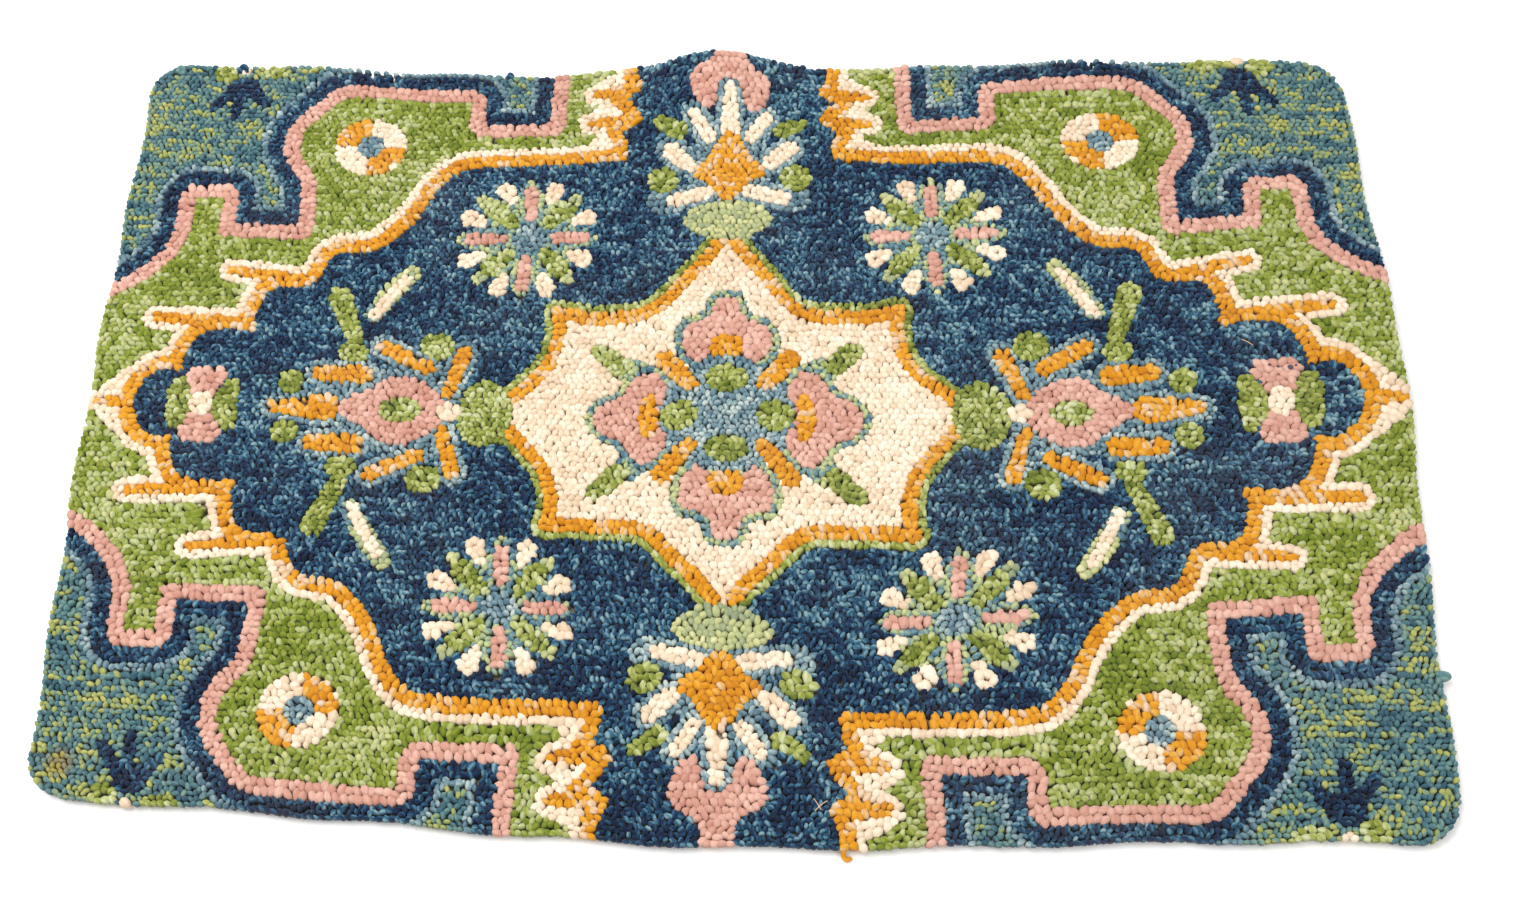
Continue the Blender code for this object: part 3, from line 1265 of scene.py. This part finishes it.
class NodeSketch:
    """A small helper that adds and links shader nodes."""

    def __init__(self, tree: bpy.types.NodeTree) -> None:
        """Keep the tree."""
        self.tree = tree

    def add(self, kind: str, **settings: object) -> bpy.types.Node:
        """Add a node of a kind and set its properties.

        Args:
            kind: Blender's name of the node.
            settings: Values of its properties.

        Returns:
            The node.
        """
        node = self.tree.nodes.new(kind)
        for name, value in settings.items():
            setattr(node, name, value)
        return node

    def feed(self, node: bpy.types.Node, socket: str | int, source: Source) -> None:
        """Link a socket to a source, or set it to a plain value.

        Args:
            node: The node.
            socket: Its socket's name or number.
            source: A socket or a value.
        """
        if isinstance(source, bpy.types.NodeSocket):
            self.tree.links.new(source, node.inputs[socket])
        else:
            node.inputs[socket].default_value = source

    def math(self, operation: str, first: Source, second: Source = 0.0, clamp: bool = False) -> Socket:
        """Return a sum, product or the like of two values.

        Args:
            operation: Blender's name of it.
            first: The first value.
            second: The second.
            clamp: Whether it is held from 0 to 1.

        Returns:
            The result's socket.
        """
        node = self.add("ShaderNodeMath", operation=operation, use_clamp=clamp)
        self.feed(node, 0, first)
        self.feed(node, 1, second)
        return node.outputs[0]

    def eased(self, value: Source, low: float, high: float) -> Socket:
        """Return 0 to 1 as a value runs from low to high, eased and held at both ends.

        Args:
            value: The value.
            low: Where the result is 0.
            high: Where it is 1.

        Returns:
            The result's socket.
        """
        node = self.add("ShaderNodeMapRange", interpolation_type="SMOOTHSTEP")
        for socket, source in enumerate((value, low, high, 0.0, 1.0)):
            self.feed(node, socket, source)
        return node.outputs[0]

    def mixed(self, mask: Source, first: Source, second: Source, blend: str = "MIX") -> Socket:
        """Return two colours mixed by a mask.

        Args:
            mask: Share of the second.
            first: The first colour.
            second: The second colour.
            blend: How they are mixed.

        Returns:
            The mixed colour's socket.
        """
        node = self.add("ShaderNodeMix", data_type="RGBA", blend_type=blend)
        self.feed(node, "Factor", mask)
        self.feed(node, 6, first)
        self.feed(node, 7, second)
        return node.outputs[2]

    def noise(self, vector: Source, scale: float, detail: float = 2.0) -> Socket:
        """Return noise from 0 to 1.

        Args:
            vector: The places.
            scale: Its patches to a unit.
            detail: Its finer layers.

        Returns:
            The noise's socket.
        """
        node = self.add("ShaderNodeTexNoise")
        self.feed(node, "Vector", vector)
        self.feed(node, "Scale", scale)
        self.feed(node, "Detail", detail)
        return node.outputs[0]

    def attribute(self, name: str) -> bpy.types.Node:
        """Return the node that reads a mesh attribute."""
        return self.add("ShaderNodeAttribute", attribute_name=name)


def node_group(name: str, inputs: dict[str, str], outputs: tuple[str, ...]) -> bpy.types.NodeTree:
    """Return a new node group with named inputs, and outputs that are plain values.

    Args:
        name: Name of the group.
        inputs: Kind of each named input.
        outputs: Names of the outputs.

    Returns:
        The group.
    """
    tree = bpy.data.node_groups.new(name, "ShaderNodeTree")
    for label, kind in inputs.items():
        tree.interface.new_socket(label, in_out="INPUT", socket_type=f"NodeSocket{kind}")
    for label in outputs:
        tree.interface.new_socket(label, in_out="OUTPUT", socket_type="NodeSocketFloat")
    return tree


@dataclass(frozen=True)
class PliedWool:
    """Two plies of carded wool twisted about each other, with lengths in millimetres."""

    name: str = "plied_wool"
    turn_across: float = 1.25
    turn_along: float = 0.62
    fibre_stretch: Place = (0.35, 1.3, 0.6)
    fibre_scale: float = 1.5
    lot_steps: Place = (37.0, 91.0, 53.0)
    ply_relief: float = 0.35
    # Loop heights, in millimetres, of the painted shade's mask: full painted shade below the first, none
    # above the second.
    shaded_below: float = 4.0
    lit_above: float = 7.4

    def group(self) -> bpy.types.NodeTree:
        """Return the group, made once: the wool's tone, its relief, and how near the crown it is, the mask
        of the painted shade between the loops.

        Returns:
            The group.
        """
        if self.name in bpy.data.node_groups:
            return bpy.data.node_groups[self.name]
        takes = {"Place": "Vector", "Tone": "Float", "Lot": "Float", "Ply": "Float", "Heather": "Float"}
        tree = node_group(self.name, takes, ("Tone", "Height", "Crown"))
        sketch = NodeSketch(tree)
        inputs = sketch.add("NodeGroupInput").outputs
        result = sketch.add("NodeGroupOutput")
        split = sketch.add("ShaderNodeSeparateXYZ")
        sketch.feed(split, 0, inputs["Place"])
        along, across, rise = split.outputs
        shift = sketch.math("MULTIPLY", inputs["Lot"], 2.0 * math.pi)
        slant = sketch.math("MULTIPLY", along, self.turn_along)
        turn = sketch.math("ADD", sketch.math("MULTIPLY", across, self.turn_across), slant)
        twist = sketch.math("SINE", sketch.math("ADD", turn, shift))
        stretched = sketch.add("ShaderNodeVectorMath", operation="MULTIPLY")
        sketch.feed(stretched, 0, inputs["Place"])
        sketch.feed(stretched, 1, self.fibre_stretch)
        lot_shift = sketch.add("ShaderNodeCombineXYZ")
        for axis, size in enumerate(self.lot_steps):
            sketch.feed(lot_shift, axis, sketch.math("MULTIPLY", inputs["Lot"], size))
        moved = sketch.add("ShaderNodeVectorMath", operation="ADD")
        sketch.feed(moved, 0, stretched.outputs[0])
        sketch.feed(moved, 1, lot_shift.outputs[0])
        fibre = sketch.noise(moved.outputs[0], self.fibre_scale, 3.0)
        ply_shade = sketch.math("MULTIPLY", twist, inputs["Ply"])
        fibre_shade = sketch.math("MULTIPLY", sketch.math("SUBTRACT", fibre, 0.5), inputs["Heather"])
        tone = sketch.math("ADD", sketch.math("ADD", inputs["Tone"], ply_shade), fibre_shade, clamp=True)
        sketch.feed(result, "Tone", tone)
        relief = sketch.math("MULTIPLY", twist, self.ply_relief)
        sketch.feed(result, "Height", sketch.math("ADD", relief, fibre))
        # Crown runs from 0 at a loop's foot to 1 near its top; the wool's material paints shade into the
        # colour where it is low.
        sketch.feed(result, "Crown", sketch.eased(rise, self.shaded_below, self.lit_above))
        return tree


@dataclass(frozen=True)
class Soil:
    """What use has left on the pile: a brown stain, small dark spots and a thin general greying.

    Places and radii are metres on the floor plan, each spot's radius in millimetres.
    """

    name: str = "soil"
    stain_place: Point = (-0.439, -0.267)
    stain_radii: Point = (0.003, 0.014)
    stain_colour: Colour = (150, 124, 52)
    stain_strength: float = 0.6
    spots: tuple[Place, ...] = (
        (0.3735, 0.0415, 0.9), (0.3796, 0.0402, 1.0), (0.3880, 0.0394, 1.7), (0.3919, 0.0408, 0.8),
    )
    spot_edge: float = 1.6
    spot_colour: Colour = (40, 44, 64)
    spot_strength: float = 0.9
    grey_scale: float = 9.0
    grey_range: Point = (0.42, 0.75)
    grey_colour: Colour = (168, 160, 146)
    grey_strength: float = 0.05

    def group(self) -> bpy.types.NodeTree:
        """Return the group, made once: one mask for each kind of soil.

        Returns:
            The group.
        """
        if self.name in bpy.data.node_groups:
            return bpy.data.node_groups[self.name]
        tree = node_group(self.name, {"Place": "Vector"}, ("Stain", "Spots", "Greying"))
        sketch = NodeSketch(tree)
        place = sketch.add("NodeGroupInput").outputs["Place"]
        result = sketch.add("NodeGroupOutput")
        sketch.feed(result, "Stain", self.round_mask(sketch, place, self.stain_place, self.stain_radii))
        spots = 0.0
        for x, y, radius in self.spots:
            radii = (radius * MM, self.spot_edge * radius * MM)
            spots = sketch.math("MAXIMUM", spots, self.round_mask(sketch, place, (x, y), radii))
        sketch.feed(result, "Spots", spots)
        cloudy = sketch.noise(place, self.grey_scale, 4.0)
        sketch.feed(result, "Greying", sketch.eased(cloudy, *self.grey_range))
        return tree

    @staticmethod
    def round_mask(sketch: NodeSketch, place: Source, centre: Point, radii: Point) -> Socket:
        """Return a soft-edged round mask about a place on the floor plan.

        Args:
            sketch: The group's sketch.
            place: The places.
            centre: Middle of the mask.
            radii: Where it is full and where it ends.

        Returns:
            The mask's socket.
        """
        flat = sketch.add("ShaderNodeVectorMath", operation="MULTIPLY")
        sketch.feed(flat, 0, place)
        sketch.feed(flat, 1, (1.0, 1.0, 0.0))
        away = sketch.add("ShaderNodeVectorMath", operation="DISTANCE")
        sketch.feed(away, 0, flat.outputs[0])
        sketch.feed(away, 1, (*centre, 0.0))
        return sketch.eased(away.outputs["Value"], radii[1], radii[0])

    def over(self, sketch: NodeSketch, pile: Socket) -> Socket:
        """Return the pile's colour with the soil over it.

        Args:
            sketch: The material's sketch.
            pile: The clean colour.

        Returns:
            The soiled colour's socket.
        """
        soil = sketch.add("ShaderNodeGroup", node_tree=self.group())
        sketch.feed(soil, "Place", sketch.add("ShaderNodeTexCoord").outputs["Object"])
        for mask, strength, colour in (
            ("Greying", self.grey_strength, self.grey_colour),
            ("Stain", self.stain_strength, self.stain_colour),
            ("Spots", self.spot_strength, self.spot_colour),
        ):
            pile = sketch.mixed(sketch.math("MULTIPLY", soil.outputs[mask], strength), pile, linear(colour))
        return pile


@dataclass(frozen=True)
class WoolFinish:
    """A dyed two-ply wool: its shades from dark lot to light lot, how they mix in one loop, and the painted
    shade between the loops.
    """

    name: str
    shades: tuple[tuple[float, Colour], ...]
    ply: float = 0.10
    heather: float = 0.35
    roughness: float = 0.88
    sheen: float = 0.12
    # Painted shade: the share of the dyed colour left at the loops' feet, darkening the crevices between
    # loops.
    painted_crevice_shade: float = 0.5
    relief: float = 0.55
    relief_depth: float = 0.0006

    def material(self) -> bpy.types.Material:
        """Return the wool's material, made once.

        Returns:
            The material.
        """
        if self.name in bpy.data.materials:
            return bpy.data.materials[self.name]
        material = bpy.data.materials.new(self.name)
        material.use_nodes = True
        sketch = NodeSketch(material.node_tree)
        shader = material.node_tree.nodes["Principled BSDF"]
        wool = sketch.add("ShaderNodeGroup", node_tree=PliedWool().group())
        sketch.feed(wool, "Place", sketch.attribute("loop_place").outputs["Vector"])
        sketch.feed(wool, "Tone", sketch.attribute("tone").outputs["Fac"])
        sketch.feed(wool, "Lot", sketch.attribute("lot").outputs["Fac"])
        sketch.feed(wool, "Ply", self.ply)
        sketch.feed(wool, "Heather", self.heather)
        dyed = self.shade_ramp(sketch, wool.outputs["Tone"])
        # Painted shade: the dyed colour darkened towards each loop's foot, where the loops meet, and full at
        # the crown.
        painted_crevice_shade = sketch.mixed(1.0, dyed, (self.painted_crevice_shade, self.painted_crevice_shade, self.painted_crevice_shade, 1.0), "MULTIPLY")
        pile = sketch.mixed(wool.outputs["Crown"], painted_crevice_shade, dyed)
        sketch.feed(shader, "Base Color", Soil().over(sketch, pile))
        bump = sketch.add("ShaderNodeBump")
        sketch.feed(bump, "Height", wool.outputs["Height"])
        sketch.feed(bump, "Strength", self.relief)
        sketch.feed(bump, "Distance", self.relief_depth)
        sketch.feed(shader, "Normal", bump.outputs["Normal"])
        shader.inputs["Roughness"].default_value = self.roughness
        shader.inputs["Sheen Weight"].default_value = self.sheen
        shader.inputs["Sheen Roughness"].default_value = 0.5
        shader.inputs["Specular IOR Level"].default_value = 0.25
        return material

    def shade_ramp(self, sketch: NodeSketch, tone: Socket) -> Socket:
        """Return the yarn's colour at a tone.

        Args:
            sketch: The material's sketch.
            tone: The tone, from 0 to 1.

        Returns:
            The colour's socket.
        """
        ramp = sketch.add("ShaderNodeValToRGB")
        band = ramp.color_ramp
        band.elements[0].position, band.elements[0].color = self.shades[0][0], linear(self.shades[0][1])
        band.elements[1].position, band.elements[1].color = self.shades[-1][0], linear(self.shades[-1][1])
        for position, colour in self.shades[1:-1]:
            band.elements.new(position).color = linear(colour)
        sketch.feed(ramp, "Fac", tone)
        return ramp.outputs["Color"]


WOOLS: dict[Yarn, WoolFinish] = {
    Yarn.NAVY: WoolFinish("navy_wool", (
        (0.0, (0, 18, 48)), (0.35, (8, 42, 74)), (0.6, (34, 78, 104)), (0.85, (80, 122, 140)),
        (1.0, (122, 152, 160)),
    ), ply=0.20, heather=0.5),
    Yarn.SKY: WoolFinish("sky_wool", (
        (0.0, (70, 100, 114)), (0.45, (106, 134, 143)), (0.75, (142, 162, 164)), (1.0, (178, 190, 184)),
    ), ply=0.16, heather=0.5),
    Yarn.TEAL: WoolFinish("teal_wool", (
        (0.0, (40, 76, 92)), (0.35, (74, 112, 118)), (0.58, (106, 138, 130)), (0.70, (142, 150, 82)),
        (1.0, (172, 172, 98)),
    ), ply=0.10, heather=0.35),
    Yarn.GREEN: WoolFinish("green_wool", (
        (0.0, (90, 106, 18)), (0.38, (122, 134, 38)), (0.58, (148, 156, 76)), (0.8, (166, 172, 124)),
        (1.0, (186, 186, 122)),
    ), ply=0.12, heather=0.35, painted_crevice_shade=0.66),
    Yarn.LEAF: WoolFinish("leaf_wool", (
        (0.0, (88, 102, 26)), (0.45, (134, 142, 60)), (0.7, (164, 170, 100)), (1.0, (190, 194, 152)),
    ), ply=0.14, heather=0.45, painted_crevice_shade=0.58),
    Yarn.KNOT: WoolFinish("knot_wool", (
        (0.0, (126, 138, 108)), (0.3, (156, 164, 122)), (0.6, (178, 180, 122)), (1.0, (206, 204, 156)),
    ), ply=0.08, painted_crevice_shade=0.72),
    Yarn.IVORY: WoolFinish("ivory_wool", (
        (0.0, (208, 182, 152)), (0.5, (224, 204, 178)), (1.0, (235, 221, 200)),
    ), painted_crevice_shade=0.82),
    Yarn.GOLD: WoolFinish("gold_wool", (
        (0.0, (184, 116, 4)), (0.5, (208, 142, 20)), (0.70, (212, 156, 54)), (0.80, (202, 168, 128)),
        (1.0, (216, 188, 160)),
    ), ply=0.10, painted_crevice_shade=0.76),
    Yarn.PINK: WoolFinish("pink_wool", (
        (0.0, (182, 128, 110)), (0.5, (198, 150, 133)), (1.0, (214, 172, 155)),
    ), painted_crevice_shade=0.78),
    Yarn.FERN: WoolFinish("fern_wool", (
        (0.0, (64, 102, 118)), (0.4, (110, 142, 146)), (0.55, (146, 160, 122)), (1.0, (182, 188, 130)),
    ), ply=0.18),
}


@dataclass(frozen=True)
class LooseEnds:
    """Strands of one yarn that have worked out of the pile, joined in one mesh.

    Each strand is a row of points along it: place along, place across, height and radius, in millimetres
    from the middle of the rug's box.
    """

    name: str
    yarn: Yarn
    tone: float
    strands: tuple[Strand, ...]
    sides: int = 8
    # Height given to every strand point, above the painted shade's mask, so the strands get none of it.
    crown: float = 9.0

    def build(self) -> bpy.types.Object:
        """Lay the strands, join them and dress them in their yarn.

        Returns:
            The joined mesh's object.
        """
        parts = [self.lay(strand) for strand in self.strands]
        bpy.ops.object.select_all(action="DESELECT")
        for part in parts:
            part.select_set(True)
        bpy.context.view_layer.objects.active = parts[0]
        bpy.ops.object.join()
        piece = bpy.context.active_object
        piece.name = piece.data.name = self.name
        bpy.ops.object.mode_set(mode="EDIT")
        bpy.ops.mesh.select_all(action="SELECT")
        bpy.ops.mesh.remove_doubles(threshold=1e-6)
        bpy.ops.mesh.normals_make_consistent(inside=False)
        bpy.ops.object.mode_set(mode="OBJECT")
        piece.data.shade_smooth()
        points = np.array([vertex.co[:] for vertex in piece.data.vertices]) / MM
        Pile.add_values(piece.data, "tone", np.full(len(points), self.tone))
        Pile.add_values(piece.data, "lot", np.full(len(points), 0.4))
        place = np.column_stack([points[:, 0], points[:, 1], np.full(len(points), self.crown)])
        attribute = piece.data.attributes.new("loop_place", "FLOAT_VECTOR", "POINT")
        attribute.data.foreach_set("vector", place.astype(np.float32).ravel())
        piece.data.materials.append(WOOLS[self.yarn].material())
        log.info("%s: %d strands", self.name, len(self.strands))
        return piece

    def lay(self, strand: Strand) -> bpy.types.Object:
        """Model one strand as a round, closed mesh.

        Args:
            strand: Its points in order.

        Returns:
            The strand's object.
        """
        bpy.ops.object.select_all(action="DESELECT")
        bpy.ops.curve.primitive_nurbs_path_add()
        laid = bpy.context.active_object
        curve = laid.data
        curve.splines.clear()
        spline = curve.splines.new("NURBS")
        spline.points.add(len(strand) - 1)
        for point, (along, across, height, radius) in zip(spline.points, strand):
            point.co = (along * MM, across * MM, height * MM, 1.0)
            point.radius = radius
        spline.order_u = 3
        spline.use_endpoint_u = True
        spline.resolution_u = 5
        curve.bevel_depth = MM
        curve.bevel_resolution = self.sides // 2 - 2
        curve.use_fill_caps = True
        bpy.ops.object.convert(target="MESH")
        return bpy.context.active_object


LOOSE_ENDS: tuple[LooseEnds, ...] = (
    LooseEnds("loose_gold_end", Yarn.GOLD, 0.45, ((
        (69.0, -303.0, 6.5, 1.4), (69.2, -309.0, 9.4, 2.3), (70.0, -314.5, 7.0, 2.0),
        (69.6, -318.0, 2.9, 1.7), (70.6, -321.2, 1.9, 1.6), (72.8, -321.8, 1.8, 1.5),
        (74.8, -320.0, 1.7, 1.2),
    ),)),
    LooseEnds("loose_teal_loops", Yarn.TEAL, 0.48, (
        (
            (459.0, -192.0, 7.0, 2.0), (464.0, -192.0, 7.5, 2.4), (468.0, -193.6, 6.5, 2.4),
            (464.0, -195.6, 6.5, 2.4), (459.0, -196.0, 6.0, 2.0),
        ),
        (
            (-450.0, 296.0, 7.0, 1.8), (-448.5, 300.5, 8.5, 2.2), (-445.5, 300.5, 8.5, 2.2),
            (-444.0, 295.0, 7.0, 1.8),
        ),
    )),
    LooseEnds("loose_navy_loops", Yarn.NAVY, 0.45, (
        (
            (-401.0, 296.0, 7.0, 2.0), (-399.6, 302.0, 8.5, 2.4), (-396.4, 302.0, 8.5, 2.4),
            (-395.0, 296.0, 7.0, 2.0),
        ),
        (
            (-191.0, 290.0, 7.0, 1.8), (-190.0, 296.0, 8.5, 2.0), (-187.6, 296.0, 8.5, 2.0),
            (-186.0, 290.0, 7.0, 1.8),
        ),
    )),
    LooseEnds("stray_fibres", Yarn.GOLD, 0.88, (
        ((355.0, 61.7, 9.4, 0.3), (359.0, 60.0, 10.2, 0.45), (362.8, 57.0, 9.4, 0.3)),
        ((51.6, -292.2, 9.4, 0.3), (55.0, -288.0, 10.4, 0.4), (59.4, -285.4, 9.6, 0.25)),
        ((50.7, -284.0, 9.6, 0.25), (54.3, -289.2, 10.6, 0.35), (55.5, -291.5, 9.6, 0.25)),
    ), sides=6),
)


@dataclass(frozen=True)
class GroundCloth:
    """The woven cotton cloth that the loops are drawn through."""

    cells: tuple[int, int] = (60, 40)
    thickness: float = 1.8
    inset: float = 3.4
    thread_pitch: float = 1.1
    # The dark end shows in the weave's dips, which is painted shade, and in dark slubs, which are the
    # threads' own tone.
    dark: Colour = (150, 134, 108)
    pale: Colour = (205, 192, 164)

    def build(self, shape: RugShape) -> bpy.types.Object:
        """Build the cloth as one thin closed sheet that lies as the rug does.

        Args:
            shape: How the rug lies.

        Returns:
            The cloth's object.
        """
        bpy.ops.object.select_all(action="DESELECT")
        bpy.ops.mesh.primitive_grid_add(x_subdivisions=self.cells[0], y_subdivisions=self.cells[1], size=2.0)
        cloth = bpy.context.active_object
        cloth.name = cloth.data.name = "ground_cloth"
        points = np.empty(len(cloth.data.vertices) * 3)
        cloth.data.vertices.foreach_get("co", points)
        points = points.reshape(-1, 3)
        along = points[:, 0] * (shape.length / 2 - self.inset)
        across = points[:, 1] * (shape.width / 2 - self.inset)
        along, across = self.round_corners(shape, along, across)
        laid = shape.carry(along, across, np.zeros(len(points)))
        cloth.data.vertices.foreach_set("co", laid.ravel())
        solidify = cloth.modifiers.new("thickness", "SOLIDIFY")
        solidify.thickness = self.thickness * MM
        solidify.offset = 1.0
        bpy.ops.object.modifier_apply(modifier=solidify.name)
        cloth.data.shade_smooth()
        cloth.data.set_sharp_from_angle(angle=math.radians(50.0))
        cloth.data.materials.append(self.material())
        return cloth

    def round_corners(self, shape: RugShape, along: Array, across: Array) -> tuple[Array, Array]:
        """Draw the corner squares in to quarter discs.

        Args:
            shape: How the rug lies.
            along: Places along the chart, in millimetres.
            across: Places across the chart, in millimetres.

        Returns:
            The moved places.
        """
        radius = shape.corner_radius - self.inset
        inner_along = shape.length / 2 - shape.corner_radius
        inner_across = shape.width / 2 - shape.corner_radius
        past_along = np.clip((np.abs(along) - inner_along) / radius, 0.0, 1.0)
        past_across = np.clip((np.abs(across) - inner_across) / radius, 0.0, 1.0)
        in_corner = (past_along > 0.0) & (past_across > 0.0)
        disc_along = inner_along + radius * past_along * np.sqrt(1.0 - past_across**2 / 2)
        disc_across = inner_across + radius * past_across * np.sqrt(1.0 - past_along**2 / 2)
        return (
            np.where(in_corner, np.sign(along) * disc_along, along),
            np.where(in_corner, np.sign(across) * disc_across, across),
        )

    def material(self) -> bpy.types.Material:
        """Return the plain-woven cotton, its threads as waves in both directions, with painted shade in the
        dips of the weave.

        Returns:
            The material.
        """
        material = bpy.data.materials.new("ground_cotton")
        material.use_nodes = True
        sketch = NodeSketch(material.node_tree)
        shader = material.node_tree.nodes["Principled BSDF"]
        place = sketch.add("ShaderNodeTexCoord").outputs["Object"]
        split = sketch.add("ShaderNodeSeparateXYZ")
        sketch.feed(split, 0, place)
        turns = 2.0 * math.pi / (self.thread_pitch * MM)
        warp = sketch.math("SINE", sketch.math("MULTIPLY", split.outputs[0], turns))
        weft = sketch.math("SINE", sketch.math("MULTIPLY", split.outputs[1], turns))
        weave = sketch.math("MULTIPLY", warp, weft)
        slub = sketch.noise(place, 220.0, 3.0)
        # Painted shade: the colour darkens where the weave's height dips between threads; the slub noise is
        # the threads' own tone.
        thread_tone_and_weave_shade = sketch.math("ADD", sketch.math("MULTIPLY", weave, 0.3), slub, clamp=True)
        sketch.feed(shader, "Base Color", sketch.mixed(thread_tone_and_weave_shade, linear(self.dark), linear(self.pale)))
        bump = sketch.add("ShaderNodeBump")
        sketch.feed(bump, "Height", weave)
        sketch.feed(bump, "Strength", 0.5)
        sketch.feed(bump, "Distance", 0.0003)
        sketch.feed(shader, "Normal", bump.outputs["Normal"])
        shader.inputs["Roughness"].default_value = 0.92
        return material


@dataclass(frozen=True)
class Camera:
    """The photograph's viewpoint."""

    lens: float = 47.22
    sensor: float = 36.0
    azimuth: float = 2.5
    elevation: float = 62.16
    roll: float = -1.57
    distance: float = 1.388
    target: Place = (0.0099, -0.0338, 0.009)
    clip_start: float = 0.05

    def build(self) -> bpy.types.Object:
        """Place the camera.

        Returns:
            The camera.
        """
        azimuth, elevation, roll = (math.radians(a) for a in (self.azimuth, self.elevation, self.roll))
        back = np.array([
            math.sin(azimuth) * math.cos(elevation),
            -math.cos(azimuth) * math.cos(elevation),
            math.sin(elevation),
        ])
        level = np.array([math.cos(azimuth), math.sin(azimuth), 0.0])
        upright = np.cross(back, level)
        right = math.cos(roll) * level + math.sin(roll) * upright
        up = math.cos(roll) * upright - math.sin(roll) * level
        data = bpy.data.cameras.new("camera")
        data.lens = self.lens
        data.sensor_width = self.sensor
        data.sensor_fit = "HORIZONTAL"
        data.clip_start = self.clip_start
        camera = bpy.data.objects.new("camera", data)
        bpy.context.scene.collection.objects.link(camera)
        place = np.eye(4)
        place[:3, :3] = np.stack([right, up, back], axis=1)
        place[:3, 3] = np.array(self.target) + self.distance * back
        camera.matrix_world = Matrix(place.tolist())
        bpy.context.scene.camera = camera
        return camera


@dataclass(frozen=True)
class Studio:
    """A pale floor under soft light."""

    floor_size: float = 8.0
    floor_colour: Colour = (250, 249, 247)
    sky_strength: float = 0.75
    key_power: float = 42.0
    key_size: float = 1.6
    key_place: Place = (-0.9, 0.35, 1.9)
    fill_power: float = 14.0
    fill_size: float = 2.0
    fill_place: Place = (1.3, -1.1, 1.7)

    def build(self) -> None:
        """Build the floor, the lights and the sky."""
        bpy.ops.object.select_all(action="DESELECT")
        bpy.ops.mesh.primitive_plane_add(size=self.floor_size, location=(0.0, 0.0, 0.0))
        floor = bpy.context.active_object
        floor.name = floor.data.name = "floor"
        floor.data.materials.append(self.floor_material())
        self.area_light("key_light", self.key_place, self.key_size, self.key_power)
        self.area_light("fill_light", self.fill_place, self.fill_size, self.fill_power)
        world = bpy.data.worlds.new("studio")
        world.use_nodes = True
        sky = world.node_tree.nodes["Background"]
        sky.inputs["Color"].default_value = (1.0, 1.0, 1.0, 1.0)
        sky.inputs["Strength"].default_value = self.sky_strength
        bpy.context.scene.world = world
        bpy.context.scene.view_settings.view_transform = "Standard"

    def floor_material(self) -> bpy.types.Material:
        """Return the matt pale floor.

        Returns:
            The material.
        """
        material = bpy.data.materials.new("pale_floor")
        material.use_nodes = True
        shader = material.node_tree.nodes["Principled BSDF"]
        shader.inputs["Base Color"].default_value = linear(self.floor_colour)
        shader.inputs["Roughness"].default_value = 0.9
        shader.inputs["Specular IOR Level"].default_value = 0.1
        return material

    @staticmethod
    def area_light(name: str, place: Place, size: float, power: float) -> None:
        """Add a square light that faces the rug's middle.

        Args:
            name: Name of the light.
            place: Its place, in metres.
            size: Its side, in metres.
            power: Its power, in watts.
        """
        data = bpy.data.lights.new(name, "AREA")
        data.size = size
        data.energy = power
        light = bpy.data.objects.new(name, data)
        bpy.context.scene.collection.objects.link(light)
        light.location = place
        flat = math.hypot(place[0], place[1])
        light.rotation_euler = (math.atan2(flat, place[2]), 0.0, math.atan2(place[0], -place[1]))


def main() -> None:
    """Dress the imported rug."""
    logging.basicConfig(level=logging.INFO, format="%(name)s: %(message)s")
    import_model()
    shape = RugShape()
    chart = draw_chart(shape)
    loops = LoopField(chart)
    log.info("%d loops settled", len(loops.places))
    pieces = Pile(shape, loops).build() + [loose.build() for loose in LOOSE_ENDS]
    cloth = GroundCloth().build(shape)
    for piece in [cloth, *pieces]:
        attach(piece, "root")
    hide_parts("hooked_rug")
    Studio().build()
    Camera().build()


if __name__ == "__main__":
    main()
